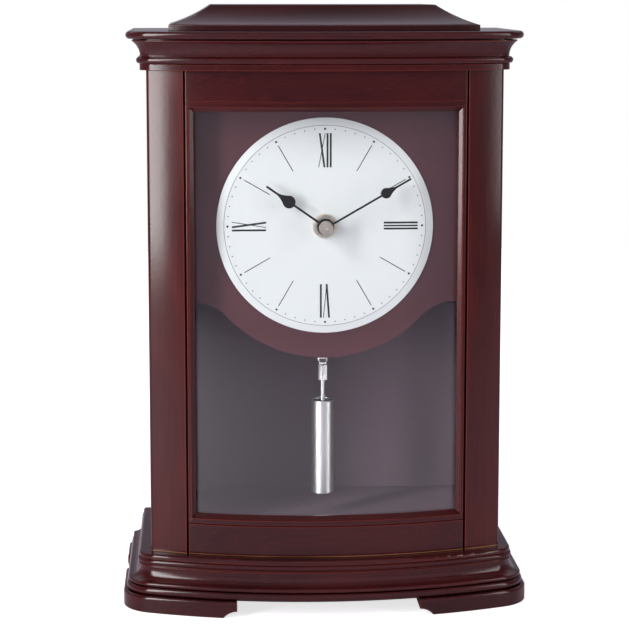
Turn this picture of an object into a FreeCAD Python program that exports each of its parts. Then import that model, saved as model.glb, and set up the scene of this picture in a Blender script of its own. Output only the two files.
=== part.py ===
import FreeCAD, Part
import math
import os

from FreeCAD import Vector

# Desk pendulum clock, a bow-fronted wooden case with a battery movement.
# Millimetres. Z is up, the dial faces -Y, and the origin is the middle of the foot plane.

# Case plan
BODY_DEPTH = 110.0
BODY_HALF_WIDTH = 93.7
BOW_RADIUS = 253.0
MOULDING_CORNER_RADIUS = 6.0
POST_CORNER_RADIUS = 2.4
RING_INSET = 5.0
CORE_INSET = 3.0
OVERRUN = 5.0
PRESS_CLEARANCE = 0.02
FIT_CLEARANCE = 0.3
RUNNING_CLEARANCE = 0.05

# Heights of the stack, from the pads up
PAD_PROUD = 0.3
PAD_THICKNESS = 1.0
PAD_RADIUS = 7.0
FOOT_HEIGHT = 8.7
PLINTH_THICKNESS = 4.2
BASE_COVE_THICKNESS = 10.6
LEDGE_THICKNESS = 5.8
BODY_HEIGHT = 256.8
CORNICE_THICKNESS = 16.2
TOP_BOARD_THICKNESS = 4.0
ROOF_SQUARE_HEIGHT = 3.0
ROOF_RISE = 10.4

# Feet
FOOT_OVERHANG = 15.0
FOOT_EDGE_ROUND = 1.6
FOOT_FRONT_REACH = 60.5
FOOT_SIDE_REACH = 35.0
REAR_FOOT_WIDTH = 42.0
REAR_FOOT_DEPTH = 26.0
BRACKET_DROP = 3.7
BRACKET_LENGTH = 7.2
BRACKET_SAG = 0.9
PAD_INSET = 19.0

# Plinth, cove and ledge mouldings
PLINTH_NOSE = 13.3
PLINTH_SHOULDER = 11.9
COVE_LIP = 12.4
COVE_LIP_ROUND = 1.3
COVE_FOOT = 11.2
COVE_TOP = 6.7
COVE_QUIRK = 0.7
BASE_COVE_SAG = 1.9
BASE_COVE_LEAN_SHARE = 0.75
LEDGE_BEAD_NOSE = 7.3
LEDGE_BEAD_ROOT = 6.3
LEDGE_BEAD_HEIGHT = 2.9
LEDGE_QUIRK_HEIGHT = 0.35
LEDGE_STEP = 6.5
LEDGE_ROUND = 1.5

# Cornice mouldings
FRIEZE_OVERHANG = 3.4
FRIEZE_HEIGHT = 3.2
CORNICE_QUIRK = 0.35
CORNICE_QUIRK_DEPTH = 0.7
CORNICE_BEAD_NOSE = 5.2
CORNICE_BEAD_HEIGHT = 3.2
CORNICE_COVE_ROOT = 3.1
CORNICE_COVE_RADIUS = 9.5
CORNICE_COVE_RISE = 7.9
CORNICE_RECESS_STEP = 2.6
TOP_BOARD_NOSE = 10.6
TOP_BOARD_SHOULDER = 8.9

# Roof block
ROOF_BASE_SETBACK = 11.7
ROOF_TOP_SETBACK = 33.8
ROOF_SLOPE_LIP = 0.5
ROOF_SLOPE_SAG = 0.9

# Body boards
POST_WIDTH = 19.2
POST_DEPTH = 27.5
SIDE_PANEL_THICKNESS = 9.0
RAIL_DEPTH = 17.5
TOP_RAIL_HEIGHT = 16.2
BOTTOM_RAIL_HEIGHT = 16.6
SHADOW_GAP = 1.0
SHADOW_GAP_DEPTH = 3.0
FLOOR_THICKNESS = 12.0

# Glazing bead, glass and its strips, as widths from the rail and depths from the rail face
BEAD_WIDTH = 5.2
BEAD_SQUARE_WIDTH = 3.0
BEAD_SETBACK = 0.8
BEAD_STEP_DEPTH = 1.7
BEAD_BEVEL_DEPTH = 3.3
BEAD_BACK_DEPTH = 9.4
BEAD_LEG_WIDTH = 1.6
GLASS_DEPTH = 4.7
GLASS_THICKNESS = 2.2
GLASS_EDGE_CLEARANCE = 0.2
STRIP_WIDTH = 3.2
STRIP_CLEARANCE = 0.1
MITRE_CLEARANCE = 0.02

# Dial board and dial
DIAL_RISE = 173.9
DIAL_BOARD_THICKNESS = 6.0
DIAL_BOARD_TOP_GAP = 4.0
DIAL_BOARD_ARC_RADIUS = 71.3
DIAL_BOARD_SHOULDER_WIDTH = 15.6
DIAL_BOARD_OGEE_RADIUS = 22.0
DIAL_RADIUS = 57.5
DIAL_THICKNESS = 1.5
DIAL_BEVEL_WIDTH = 3.6
DIAL_BEVEL_DROP = 0.7
BOARD_SCREW_RADIUS = 1.5
BOARD_SCREW_LENGTH = 14.0
BOARD_SCREW_HEAD_RADIUS = 3.0
BOARD_SCREW_HEAD_HEIGHT = 1.8
BOARD_SCREW_SLOT_WIDTH = 0.9
BOARD_SCREW_SLOT_DEPTH = 0.8
BOARD_SCREW_FROM_EDGE = 5.0
BOARD_SCREW_RISE = 64.0
BOARD_SCREW_DROP = 30.0

# Motion work on the centre line of the dial
MINUTE_ARBOR_RADIUS = 1.25
HOUR_PIPE_WALL = 1.15
BUSHING_WALL = 1.5
BUSHING_PROUD = 4.0
HOUR_PIPE_PROUD = 6.6
MINUTE_ARBOR_PROUD = 11.2
WASHER_RADIUS = 6.6
WASHER_THICKNESS = 0.7
NUT_RADIUS = 6.1
NUT_THICKNESS = 2.6
NUT_CHAMFER = 0.6
NUT_SLOT_WIDTH = 1.3
NUT_SLOT_DEPTH = 1.1

# Hands and cap, with places measured forward from the dial face
HOUR_BOSS_RADIUS = 4.5
HOUR_BOSS_START = 4.4
HOUR_BOSS_LENGTH = 2.1
HOUR_BLADE_START = 5.3
HOUR_HAND_REACH = 38.1
HOUR_BLOB_PLACE = 23.5
HOUR_BLOB_RADIUS = 3.4
HOUR_TAPER_END = 30.8
HOUR_STEM_WIDTH = 1.1
MINUTE_BOSS_RADIUS = 3.7
MINUTE_BOSS_START = 8.3
MINUTE_BOSS_LENGTH = 1.9
MINUTE_BLADE_START = 9.2
MINUTE_HAND_REACH = 51.7
MINUTE_BLOB_PLACE = 36.5
MINUTE_BLOB_RADIUS = 2.8
MINUTE_TAPER_END = 42.9
MINUTE_STEM_WIDTH = 1.0
HAND_THICKNESS = 0.5
HAND_SHOULDER_DEGREES = 52.0
HAND_TAPER_SHARE = 0.33
CAP_RADIUS = 3.8
CAP_LENGTH = 4.3
CAP_EDGE = 0.25
CAP_DIMPLE_RADIUS = 0.6
CAP_DIMPLE_DEPTH = 0.5
HOUR_HAND_DEGREES = 305.0
MINUTE_HAND_DEGREES = 60.0

# Movement box behind the dial board
MOVEMENT_HALF_WIDTH = 44.0
MOVEMENT_BELOW_DIAL = 39.5
MOVEMENT_ABOVE_DIAL = 44.5
MOVEMENT_FRONT_DEPTH = 12.0
MOVEMENT_REAR_DEPTH = 18.0
MOVEMENT_WALL = 2.0
MOVEMENT_SCREW_RADIUS = 1.2
MOVEMENT_SCREW_LENGTH = 8.0
MOVEMENT_SCREW_HEAD_RADIUS = 2.4
MOVEMENT_SCREW_HEAD_HEIGHT = 1.4
MOVEMENT_EAR_SIZE = 9.0
MOVEMENT_EAR_THICKNESS = 3.0

# Gears
CANNON_TEETH = 12
MINUTE_WHEEL_TEETH = 36
MINUTE_PINION_TEETH = 10
HOUR_WHEEL_TEETH = 40
PRESSURE_DEGREES = 25.0
ADDENDUM_SHARE = 0.8
DEDENDUM_SHARE = 1.15
WHEEL_CENTRES = 12.0
BACKLASH = 0.16
HOUR_WHEEL_GAP = 0.5
WHEEL_THICKNESS = 1.5
WHEEL_LAYER_STEP = 3.0
WHEEL_POST_RADIUS = 0.9
WHEEL_POST_CAP = 0.6

# Circuit board, coil and cells
CIRCUIT_WIDTH = 26.0
CIRCUIT_HEIGHT = 27.0
CIRCUIT_THICKNESS = 1.2
CIRCUIT_SIDE_SPACE = 2.0
CIRCUIT_RISE = 1.5
CIRCUIT_POST_RADIUS = 1.5
CIRCUIT_POST_INSET = 3.0
COIL_RADIUS = 5.5
COIL_FLAT_SHARE = 0.75
COIL_LENGTH = 17.0
COIL_CORE_RADIUS = 1.8
COIL_X = 28.0
CELL_RADIUS = 7.1
CELL_LENGTH = 49.0
CELL_PIP_RADIUS = 2.7
CELL_PIP_LENGTH = 1.4
CELL_GAP = 0.5
BAY_END_SPACE = 3.4
BAY_WALL = 1.5
BAY_BOTTOM_RISE = 3.2
CONTACT_THICKNESS = 0.4
CONTACT_WIDTH = 9.0
CONTACT_DISH_RADIUS = 3.0

# Rear controls
KNOB_RADIUS = 5.0
KNOB_LENGTH = 5.0
KNOB_GAP = 0.4
KNOB_RIB_COUNT = 18
KNOB_RIB_DEPTH = 0.35
SLIDER_CAP_WIDTH = 7.0
SLIDER_CAP_HEIGHT = 4.4
SLIDER_CAP_DEPTH = 2.2
SLIDER_STEM = 2.4
SLIDER_FLANGE_DEPTH = 1.0
SLIDER_GAP = 0.1
SLIDER_RISE = 32.5
SELECTOR_X = -22.0
SELECTOR_TRAVEL = 4.0
VOLUME_X = 20.0
VOLUME_TRAVEL = 6.0

# Pendulum
PENDULUM_SETBACK = 46.0
PIVOT_DROP = 8.0
PIVOT_RADIUS = 1.0
TRUNNION_END_PLAY = 0.1
LUG_THICKNESS = 2.0
LUG_HALF_WIDTH = 4.0
LUG_TIP_RADIUS = 3.2
LUG_SPACE = 3.4
HANGER_THICKNESS = 2.6
HANGER_EYE_RADIUS = 3.0
HANGER_WIDTH = 5.0
TONGUE_WIDTH = 2.6
TONGUE_THICKNESS = 1.2
TONGUE_CLEARANCE = 0.1
HANGER_ARM = 26.3
HOOK_HEAD_WIDTH = 5.4
HOOK_HEAD_HEIGHT = 2.0
HOOK_NECK_WIDTH = 4.3
HOOK_NECK_HEIGHT = 2.7
HOOK_PIN_RADIUS = 0.5
ADAPTER_RADIUS = 2.3
ADAPTER_LENGTH = 8.2
ADAPTER_CHAMFER = 0.7
ADAPTER_GROOVE = 0.35
ROD_RADIUS = 1.15
ROD_SEAT = 3.0
COLLAR_RADIUS = 1.7
COLLAR_LENGTH = 0.8
COLLAR_GAP = 1.2
ROD_SHOWN = 11.0
BOB_LENGTH = 51.6
BOB_RADIUS = 6.2
BOB_WALL = 0.7
BOB_CAP_THICKNESS = 2.0
BOB_CAP_RECESS = 0.4
BOB_END_ROUND = 0.5

# Speaker on the back of the dial board
SPEAKER_SIDE_SPACE = 2.2
SPEAKER_RISE = 34.5
SPEAKER_RADIUS = 18.0
SPEAKER_FLANGE = 1.2
SPEAKER_BASKET_DEPTH = 7.0
SPEAKER_WALL = 1.0
SPEAKER_MAGNET_RADIUS = 9.0
SPEAKER_MAGNET_DEPTH = 5.0
SPEAKER_CONE_WALL = 0.5
SPEAKER_CONE_THROAT = 4.0
SPEAKER_CONE_LIP = 1.2
SPEAKER_CONE_DEPTH = 4.0

# Back door and its fittings
DOOR_THICKNESS = 4.0
DOOR_RECESS = 3.0
DOOR_EDGE_GAP = 1.1
DOOR_END_GAP = 0.6
DOOR_SLOT_WIDTH = 2.6
DOOR_SLOT_HEIGHT = 34.0
DOOR_SLOT_PITCH = 6.5
DOOR_SLOT_COUNT = 7
STOP_WIDTH = 4.0
STOP_DEPTH = 7.0
STOP_GAP = 0.2
STOP_END_SPACE = 16.0
HINGE_PIN_INSET = 1.5
HINGE_PIN_SETOUT = 1.5
HINGE_PIN_RADIUS = 0.7
HINGE_BARREL_RADIUS = 1.3
HINGE_LEAF_THICKNESS = 0.6
HINGE_LEAF_WIDTH = 11.0
HINGE_HEIGHT = 24.0
HINGE_GAP = 0.2
HINGE_END_SPACE = 34.0
DOOR_KNOB_RADIUS = 5.0
DOOR_KNOB_HEIGHT = 1.7
DOOR_KNOB_STEM_RADIUS = 2.6
DOOR_KNOB_STEM_LENGTH = 1.1
DOOR_KNOB_FROM_EDGE = 11.0
MAGNET_WIDTH = 8.0
MAGNET_HEIGHT = 26.0
MAGNET_DEPTH = 9.0
STRIKE_THICKNESS = 0.8
STRIKE_GAP = 0.3
STRIKE_HEIGHT = 22.0
STRIKE_WIDTH = 7.0

# Levels and places worked out from the sizes above
FOOT_BOTTOM_Z = PAD_PROUD
PLINTH_Z = FOOT_BOTTOM_Z + FOOT_HEIGHT
BASE_COVE_Z = PLINTH_Z + PLINTH_THICKNESS
LEDGE_Z = BASE_COVE_Z + BASE_COVE_THICKNESS
BODY_Z = LEDGE_Z + LEDGE_THICKNESS
CORNICE_Z = BODY_Z + BODY_HEIGHT
TOP_BOARD_Z = CORNICE_Z + CORNICE_THICKNESS
ROOF_Z = TOP_BOARD_Z + TOP_BOARD_THICKNESS
BODY_FRONT_Y = (PLINTH_NOSE - BODY_DEPTH) / 2
CASE_BACK_Y = BODY_FRONT_Y + BODY_DEPTH
BOW_AXIS_Y = BODY_FRONT_Y + BOW_RADIUS
POST_INNER_X = BODY_HALF_WIDTH - POST_WIDTH
POST_BACK_Y = BODY_FRONT_Y + POST_DEPTH
RAIL_BACK_Y = BODY_FRONT_Y + RAIL_DEPTH
FLOOR_TOP_Z = BODY_Z + FLOOR_THICKNESS
SIDE_INNER_X = BODY_HALF_WIDTH - SIDE_PANEL_THICKNESS
OPENING_BOTTOM_Z = BODY_Z + BOTTOM_RAIL_HEIGHT
OPENING_TOP_Z = CORNICE_Z - TOP_RAIL_HEIGHT
DIAL_CENTRE_Z = BODY_Z + DIAL_RISE
DIAL_BOARD_BACK_Y = POST_BACK_Y + DIAL_BOARD_THICKNESS
DIAL_FACE_Y = POST_BACK_Y - DIAL_THICKNESS
MOVEMENT_BOTTOM_Z = DIAL_CENTRE_Z - MOVEMENT_BELOW_DIAL
MOVEMENT_TOP_Z = DIAL_CENTRE_Z + MOVEMENT_ABOVE_DIAL
MOVEMENT_SPLIT_Y = DIAL_BOARD_BACK_Y + MOVEMENT_FRONT_DEPTH
MOVEMENT_BACK_Y = MOVEMENT_SPLIT_Y + MOVEMENT_REAR_DEPTH
CIRCUIT_LEFT_X = CIRCUIT_SIDE_SPACE + MOVEMENT_WALL - MOVEMENT_HALF_WIDTH
CIRCUIT_BOTTOM_Z = DIAL_CENTRE_Z + CIRCUIT_RISE
SLIDER_Z = DIAL_CENTRE_Z + SLIDER_RISE
SPEAKER_X = SIDE_INNER_X - SPEAKER_SIDE_SPACE - SPEAKER_RADIUS
SPEAKER_Z = DIAL_CENTRE_Z + SPEAKER_RISE
HOUR_PIPE_BORE = MINUTE_ARBOR_RADIUS + RUNNING_CLEARANCE
HOUR_PIPE_RADIUS = HOUR_PIPE_BORE + HOUR_PIPE_WALL
BUSHING_BORE = HOUR_PIPE_RADIUS + RUNNING_CLEARANCE
BUSHING_RADIUS = BUSHING_BORE + BUSHING_WALL
PENDULUM_Y = BODY_FRONT_Y + PENDULUM_SETBACK
PIVOT_Z = MOVEMENT_BOTTOM_Z - PIVOT_DROP
HOOK_TOP_Z = PIVOT_Z - HANGER_ARM - TONGUE_CLEARANCE
HOOK_PIN_Z = HOOK_TOP_Z - HOOK_HEAD_HEIGHT
ADAPTER_TOP_Z = HOOK_PIN_Z - HOOK_NECK_HEIGHT
ADAPTER_LOW_Z = ADAPTER_TOP_Z - ADAPTER_LENGTH
BOB_TOP_Z = ADAPTER_LOW_Z - ROD_SHOWN
BOB_LOW_Z = BOB_TOP_Z - BOB_LENGTH
DOOR_OUTER_Y = CASE_BACK_Y - DOOR_RECESS
DOOR_INNER_Y = DOOR_OUTER_Y - DOOR_THICKNESS
DOOR_HALF_WIDTH = SIDE_INNER_X - DOOR_EDGE_GAP
DOOR_BOTTOM_Z = FLOOR_TOP_Z + DOOR_END_GAP
DOOR_TOP_Z = CORNICE_Z - DOOR_END_GAP
HINGE_X = HINGE_PIN_INSET - SIDE_INNER_X
HINGE_Y = DOOR_OUTER_Y + HINGE_PIN_SETOUT


# Shapes that many pieces share

def box(x0, x1, y0, y1, z0, z1):
    """A block between two corners."""
    return Part.makeBox(x1 - x0, y1 - y0, z1 - z0, Vector(x0, y0, z0))


def rod_y(x, z, radius, y0, y1):
    """A round bar along Y."""
    return Part.makeCylinder(radius, y1 - y0, Vector(x, y0, z), Vector(0, 1, 0))


def rod_z(x, y, radius, z0, z1):
    """A round bar along Z."""
    return Part.makeCylinder(radius, z1 - z0, Vector(x, y, z0), Vector(0, 0, 1))


def ring_y(x, z, outer, bore, y0, y1):
    """A round bar along Y with a hole through it."""
    hole = rod_y(x, z, bore, y0 - OVERRUN, y1 + OVERRUN)
    return rod_y(x, z, outer, y0, y1).cut(hole)


def cone_y(x, z, front, back, y0, y1):
    """A tapered bar along Y, with its front radius and its back radius."""
    return Part.makeCone(front, back, y1 - y0, Vector(x, y0, z), Vector(0, 1, 0))


def line(start, end):
    return Part.LineSegment(start, end).toShape()


def arc(start, middle, end):
    return Part.Arc(start, middle, end).toShape()


def mirror_x(shape):
    """The same piece for the other side of the clock."""
    return shape.mirror(Vector(0, 0, 0), Vector(1, 0, 0))


def group(shapes):
    """Separate solids that are kept in one node."""
    return Part.makeCompound([solid for shape in shapes for solid in shape.Solids])


def corner_centre(corner_radius):
    """Plan centre of the right front corner, where a small arc meets the bow."""
    x = BODY_HALF_WIDTH - corner_radius
    y = BOW_AXIS_Y - math.sqrt((BOW_RADIUS - corner_radius) ** 2 - x ** 2)
    return x, y


def plan_edges(overhang, corner_radius):
    """Left side, bow front and right side of the plan, offset by an overhang."""
    cx, cy = corner_centre(corner_radius)
    turn = math.atan2(cx, BOW_AXIS_Y - cy)
    radius = BOW_RADIUS + overhang
    small = corner_radius + overhang
    side = BODY_HALF_WIDTH + overhang
    fx = radius * math.sin(turn)
    fy = BOW_AXIS_Y - radius * math.cos(turn)
    middle = (math.pi / 2 - turn) / 2
    mx = cx + small * math.cos(middle)
    my = cy - small * math.sin(middle)
    left_back = Vector(-side, CASE_BACK_Y, 0)
    left_turn = Vector(-side, cy, 0)
    right_turn = Vector(side, cy, 0)
    right_back = Vector(side, CASE_BACK_Y, 0)
    left_front = Vector(-fx, fy, 0)
    right_front = Vector(fx, fy, 0)
    return [
        line(left_back, left_turn),
        arc(left_turn, Vector(-mx, my, 0), left_front),
        arc(left_front, Vector(0, BOW_AXIS_Y - radius, 0), right_front),
        arc(right_front, Vector(mx, my, 0), right_turn),
        line(right_turn, right_back),
    ]


def plan_prism(overhang, corner_radius, z0, z1):
    """A plain board of the clock's plan."""
    side = BODY_HALF_WIDTH + overhang
    edges = plan_edges(overhang, corner_radius)
    edges.append(line(Vector(side, CASE_BACK_Y, 0), Vector(-side, CASE_BACK_Y, 0)))
    face = Part.Face(Part.Wire(edges))
    face.translate(Vector(0, 0, z0))
    return face.extrude(Vector(0, 0, z1 - z0))


def profile_wire(points):
    """Closed moulding section at the left back corner of the plan.

    A point is (overhang, height), and an arc is (mid, mid height, end, end height).
    """
    def place(overhang, height):
        return Vector(-BODY_HALF_WIDTH - overhang, CASE_BACK_Y, height)

    edges = []
    start = place(points[0][0], points[0][1])
    here = start
    for step in points[1:]:
        if len(step) == 2:
            there = place(step[0], step[1])
            edges.append(line(here, there))
        else:
            there = place(step[2], step[3])
            edges.append(arc(here, place(step[0], step[1]), there))
        here = there
    edges.append(line(here, start))
    return Part.Wire(edges)


def moulded_board(points):
    """A board whose edge profile runs round the front and both sides."""
    heights = [step[-1] for step in points]
    path = Part.Wire(plan_edges(0, MOULDING_CORNER_RADIUS))
    rim = path.makePipeShell([profile_wire(points)], True, False)
    rim = Part.Solid(rim) if rim.ShapeType == "Shell" else rim
    core = plan_prism(-CORE_INSET, MOULDING_CORNER_RADIUS, min(heights), max(heights))
    return rim.fuse(core).removeSplitter()


def bow_ring(outer_depth, inner_depth, x0, x1, z0, z1):
    """A curved slab between two depths behind the bow front."""
    axis = Vector(0, BOW_AXIS_Y, z0)
    outer = Part.makeCylinder(BOW_RADIUS - outer_depth, z1 - z0, axis)
    inner = Part.makeCylinder(BOW_RADIUS - inner_depth, z1 - z0, axis)
    keep = box(x0, x1, BODY_FRONT_Y - OVERRUN, BOW_AXIS_Y, z0, z1)
    return outer.cut(inner).common(keep)


# Base

def feet_ring():
    """The band that the feet are cut from, rounded along its top edge."""
    bottom = FOOT_BOTTOM_Z
    top = PLINTH_Z
    shoulder = FOOT_OVERHANG - FOOT_EDGE_ROUND
    bend = FOOT_EDGE_ROUND * (1 - math.sqrt(0.5))
    return moulded_board([
        (-RING_INSET, bottom),
        (FOOT_OVERHANG, bottom),
        (FOOT_OVERHANG, top - FOOT_EDGE_ROUND),
        (FOOT_OVERHANG - bend, top - bend, shoulder, top),
        (-RING_INSET, top),
    ])


def bracket_cutter(tip, direction, along_x):
    """The scoop under the inner end of a foot, as a bar across it."""
    reach = tip + direction * BRACKET_LENGTH
    top = FOOT_BOTTOM_Z + BRACKET_DROP
    low = FOOT_BOTTOM_Z
    slant = math.hypot(BRACKET_LENGTH, BRACKET_DROP)
    mid_run = (tip + reach) / 2 + direction * BRACKET_SAG * BRACKET_DROP / slant
    mid_z = (top + low) / 2 + BRACKET_SAG * BRACKET_LENGTH / slant
    far = tip - direction * OVERRUN
    width = BODY_HALF_WIDTH + FOOT_OVERHANG + OVERRUN

    def place(run, z):
        return Vector(run, -width, z) if along_x else Vector(-width, run, z)

    edges = [
        line(place(far, top), place(tip, top)),
        arc(place(tip, top), place(mid_run, mid_z), place(reach, low)),
        line(place(reach, low), place(reach, low - OVERRUN)),
        line(place(reach, low - OVERRUN), place(far, low - OVERRUN)),
        line(place(far, low - OVERRUN), place(far, top)),
    ]
    face = Part.Face(Part.Wire(edges))
    sweep = Vector(0, 2 * width, 0) if along_x else Vector(2 * width, 0, 0)
    return face.extrude(sweep)


def pad_places():
    """Plan centres of the four pads, one under each foot."""
    x = BODY_HALF_WIDTH + FOOT_OVERHANG - PAD_INSET
    front_y = corner_centre(MOULDING_CORNER_RADIUS)[1]
    back_y = CASE_BACK_Y - REAR_FOOT_DEPTH / 2
    return [(-x, front_y), (x, front_y), (-x, back_y), (x, back_y)]


def front_foot():
    """Right front foot: it follows the bow, turns the corner and runs back."""
    outer = BODY_HALF_WIDTH + FOOT_OVERHANG
    inner_x = outer - FOOT_FRONT_REACH
    end_y = corner_centre(MOULDING_CORNER_RADIUS)[1] + FOOT_SIDE_REACH
    front = BODY_FRONT_Y - FOOT_OVERHANG - OVERRUN
    block = box(inner_x, outer + OVERRUN, front, end_y, FOOT_BOTTOM_Z, PLINTH_Z)
    foot = feet_ring().common(block)
    foot = foot.cut(bracket_cutter(inner_x, 1, True))
    foot = foot.cut(bracket_cutter(end_y, -1, False))
    return foot.cut(pad_cutter())


def rear_foot():
    """Right rear foot, square at the back."""
    outer = BODY_HALF_WIDTH + FOOT_OVERHANG
    inner_x = outer - REAR_FOOT_WIDTH
    start_y = CASE_BACK_Y - REAR_FOOT_DEPTH
    block = box(inner_x, outer + OVERRUN, start_y, CASE_BACK_Y, FOOT_BOTTOM_Z, PLINTH_Z)
    foot = feet_ring().common(block)
    foot = foot.cut(bracket_cutter(inner_x, 1, True))
    foot = foot.cut(bracket_cutter(start_y, 1, False))
    return foot.cut(pad_cutter())


def pad_cutter():
    """Shallow seats for the pads."""
    radius = PAD_RADIUS + PRESS_CLEARANCE
    seats = [rod_z(x, y, radius, -OVERRUN, PAD_THICKNESS) for x, y in pad_places()]
    return group(seats)


def foot_pads():
    """Felt discs let into the feet, just proud of them."""
    return group([rod_z(x, y, PAD_RADIUS, 0, PAD_THICKNESS) for x, y in pad_places()])


def plinth_board():
    """Bottom board with a rounded nose."""
    top = BASE_COVE_Z
    middle = (PLINTH_Z + top) / 2
    return moulded_board([
        (-RING_INSET, PLINTH_Z),
        (PLINTH_SHOULDER, PLINTH_Z),
        (PLINTH_NOSE, middle, PLINTH_SHOULDER, top),
        (-RING_INSET, top),
    ])


def base_cove_moulding():
    """Hollow moulding that spreads down from the ledge, with a rounded lip."""
    bottom = BASE_COVE_Z
    top = LEDGE_Z
    lip_top = bottom + 2 * COVE_LIP_ROUND
    mid_overhang = (COVE_TOP + COVE_FOOT) / 2 - BASE_COVE_SAG * BASE_COVE_LEAN_SHARE
    mid_height = (lip_top + top) / 2 - BASE_COVE_SAG
    return moulded_board([
        (-RING_INSET, bottom),
        (COVE_FOOT - COVE_QUIRK, bottom),
        (COVE_FOOT - COVE_QUIRK, bottom + COVE_QUIRK),
        (COVE_LIP, bottom + COVE_LIP_ROUND, COVE_FOOT, lip_top),
        (mid_overhang, mid_height, COVE_TOP, top - COVE_QUIRK),
        (COVE_TOP - COVE_QUIRK, top - COVE_QUIRK),
        (COVE_TOP - COVE_QUIRK, top),
        (-RING_INSET, top),
    ])


def base_ledge_board():
    """Board under the case: a bead, a quirk and a rounded step."""
    bottom = LEDGE_Z
    bead_top = bottom + LEDGE_BEAD_HEIGHT
    step = bead_top + LEDGE_QUIRK_HEIGHT
    top = BODY_Z
    bend = LEDGE_ROUND * (1 - math.sqrt(0.5))
    return moulded_board([
        (-RING_INSET, bottom),
        (LEDGE_BEAD_ROOT, bottom),
        (LEDGE_BEAD_NOSE, (bottom + bead_top) / 2, LEDGE_BEAD_ROOT, bead_top),
        (LEDGE_BEAD_ROOT - LEDGE_QUIRK_HEIGHT, bead_top),
        (LEDGE_BEAD_ROOT - LEDGE_QUIRK_HEIGHT, step),
        (LEDGE_STEP, step),
        (LEDGE_STEP, top - LEDGE_ROUND),
        (LEDGE_STEP - bend, top - bend, LEDGE_STEP - LEDGE_ROUND, top),
        (-RING_INSET, top),
    ])


# Body

def front_post():
    """Right front post, bowed in front and flat behind."""
    body = plan_prism(0, POST_CORNER_RADIUS, BODY_Z, CORNICE_Z)
    front = BODY_FRONT_Y - OVERRUN
    outer = BODY_HALF_WIDTH + OVERRUN
    post = body.common(box(POST_INNER_X, outer, front, POST_BACK_Y, BODY_Z, CORNICE_Z))
    return post.cut(board_screw_holes())


def side_panel():
    """Right side of the case, behind the post."""
    return box(SIDE_INNER_X, BODY_HALF_WIDTH, POST_BACK_Y, CASE_BACK_Y, BODY_Z, CORNICE_Z)


def rail(z0, z1):
    """A bowed rail between the posts, set back at its ends for the shadow line."""
    body = plan_prism(0, POST_CORNER_RADIUS, z0, z1)
    front = BODY_FRONT_Y - OVERRUN
    board = body.common(box(-POST_INNER_X, POST_INNER_X, front, RAIL_BACK_Y, z0, z1))
    return board.cut(shadow_gap_cutter(z0, z1))


def shadow_gap_cutter(z0, z1):
    """The narrow dark joints beside the posts."""
    sag = BOW_RADIUS - math.sqrt(BOW_RADIUS ** 2 - POST_INNER_X ** 2)
    depth = BODY_FRONT_Y + sag + SHADOW_GAP_DEPTH
    front = BODY_FRONT_Y - OVERRUN
    right = box(POST_INNER_X - SHADOW_GAP, POST_INNER_X + OVERRUN, front, depth, z0 - OVERRUN, z1 + OVERRUN)
    return group([right, mirror_x(right)])


def floor_board():
    """Board inside the case, from the bottom rail to the back."""
    main = box(-SIDE_INNER_X, SIDE_INNER_X, POST_BACK_Y, CASE_BACK_Y, BODY_Z, FLOOR_TOP_Z)
    tongue = box(-POST_INNER_X, POST_INNER_X, RAIL_BACK_Y, POST_BACK_Y, BODY_Z, FLOOR_TOP_Z)
    return main.fuse(tongue).removeSplitter()


# Glazing

def bead_outline():
    """Bead section as (width from the rail, depth behind the rail face)."""
    rebate = GLASS_DEPTH - STRIP_CLEARANCE
    return [
        (0, BEAD_SETBACK),
        (BEAD_SQUARE_WIDTH, BEAD_SETBACK),
        (BEAD_SQUARE_WIDTH, BEAD_STEP_DEPTH),
        (BEAD_WIDTH, BEAD_BEVEL_DEPTH),
        (BEAD_WIDTH, rebate),
        (BEAD_LEG_WIDTH, rebate),
        (BEAD_LEG_WIDTH, BEAD_BACK_DEPTH),
        (0, BEAD_BACK_DEPTH),
    ]


def strip_outline():
    """Section of the strip that holds the glass against the bead."""
    front = GLASS_DEPTH + GLASS_THICKNESS + STRIP_CLEARANCE
    near = BEAD_LEG_WIDTH + PRESS_CLEARANCE
    return [
        (near, front),
        (near + STRIP_WIDTH, front),
        (near + STRIP_WIDTH, BEAD_BACK_DEPTH),
        (near, BEAD_BACK_DEPTH),
    ]


def curved_bar(outline, edge_z, sign):
    """A section revolved about the bow, measured from the rail edge."""
    points = [Vector(0, BODY_FRONT_Y + depth, edge_z + sign * width) for width, depth in outline]
    points.append(points[0])
    face = Part.Face(Part.makePolygon(points))
    sweep = math.degrees(math.asin(POST_INNER_X / (BOW_RADIUS - BEAD_BACK_DEPTH)))
    axis = Vector(0, BOW_AXIS_Y, 0)
    face.rotate(axis, Vector(0, 0, 1), -sweep)
    bar = face.revolve(axis, Vector(0, 0, 1), 2 * sweep)
    low = min(edge_z, edge_z + sign * BEAD_WIDTH) - OVERRUN
    high = max(edge_z, edge_z + sign * BEAD_WIDTH) + OVERRUN
    return bar.common(box(-POST_INNER_X, POST_INNER_X, BODY_FRONT_Y - OVERRUN, BOW_AXIS_Y, low, high))


def upright_bar(outline):
    """The same section standing beside the right post."""
    points = []
    for width, depth in outline:
        x = POST_INNER_X - width
        y = BOW_AXIS_Y - math.sqrt((BOW_RADIUS - depth) ** 2 - x ** 2)
        points.append(Vector(x, y, OPENING_BOTTOM_Z))
    points.append(points[0])
    face = Part.Face(Part.makePolygon(points))
    return face.extrude(Vector(0, 0, OPENING_TOP_Z - OPENING_BOTTOM_Z))


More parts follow.
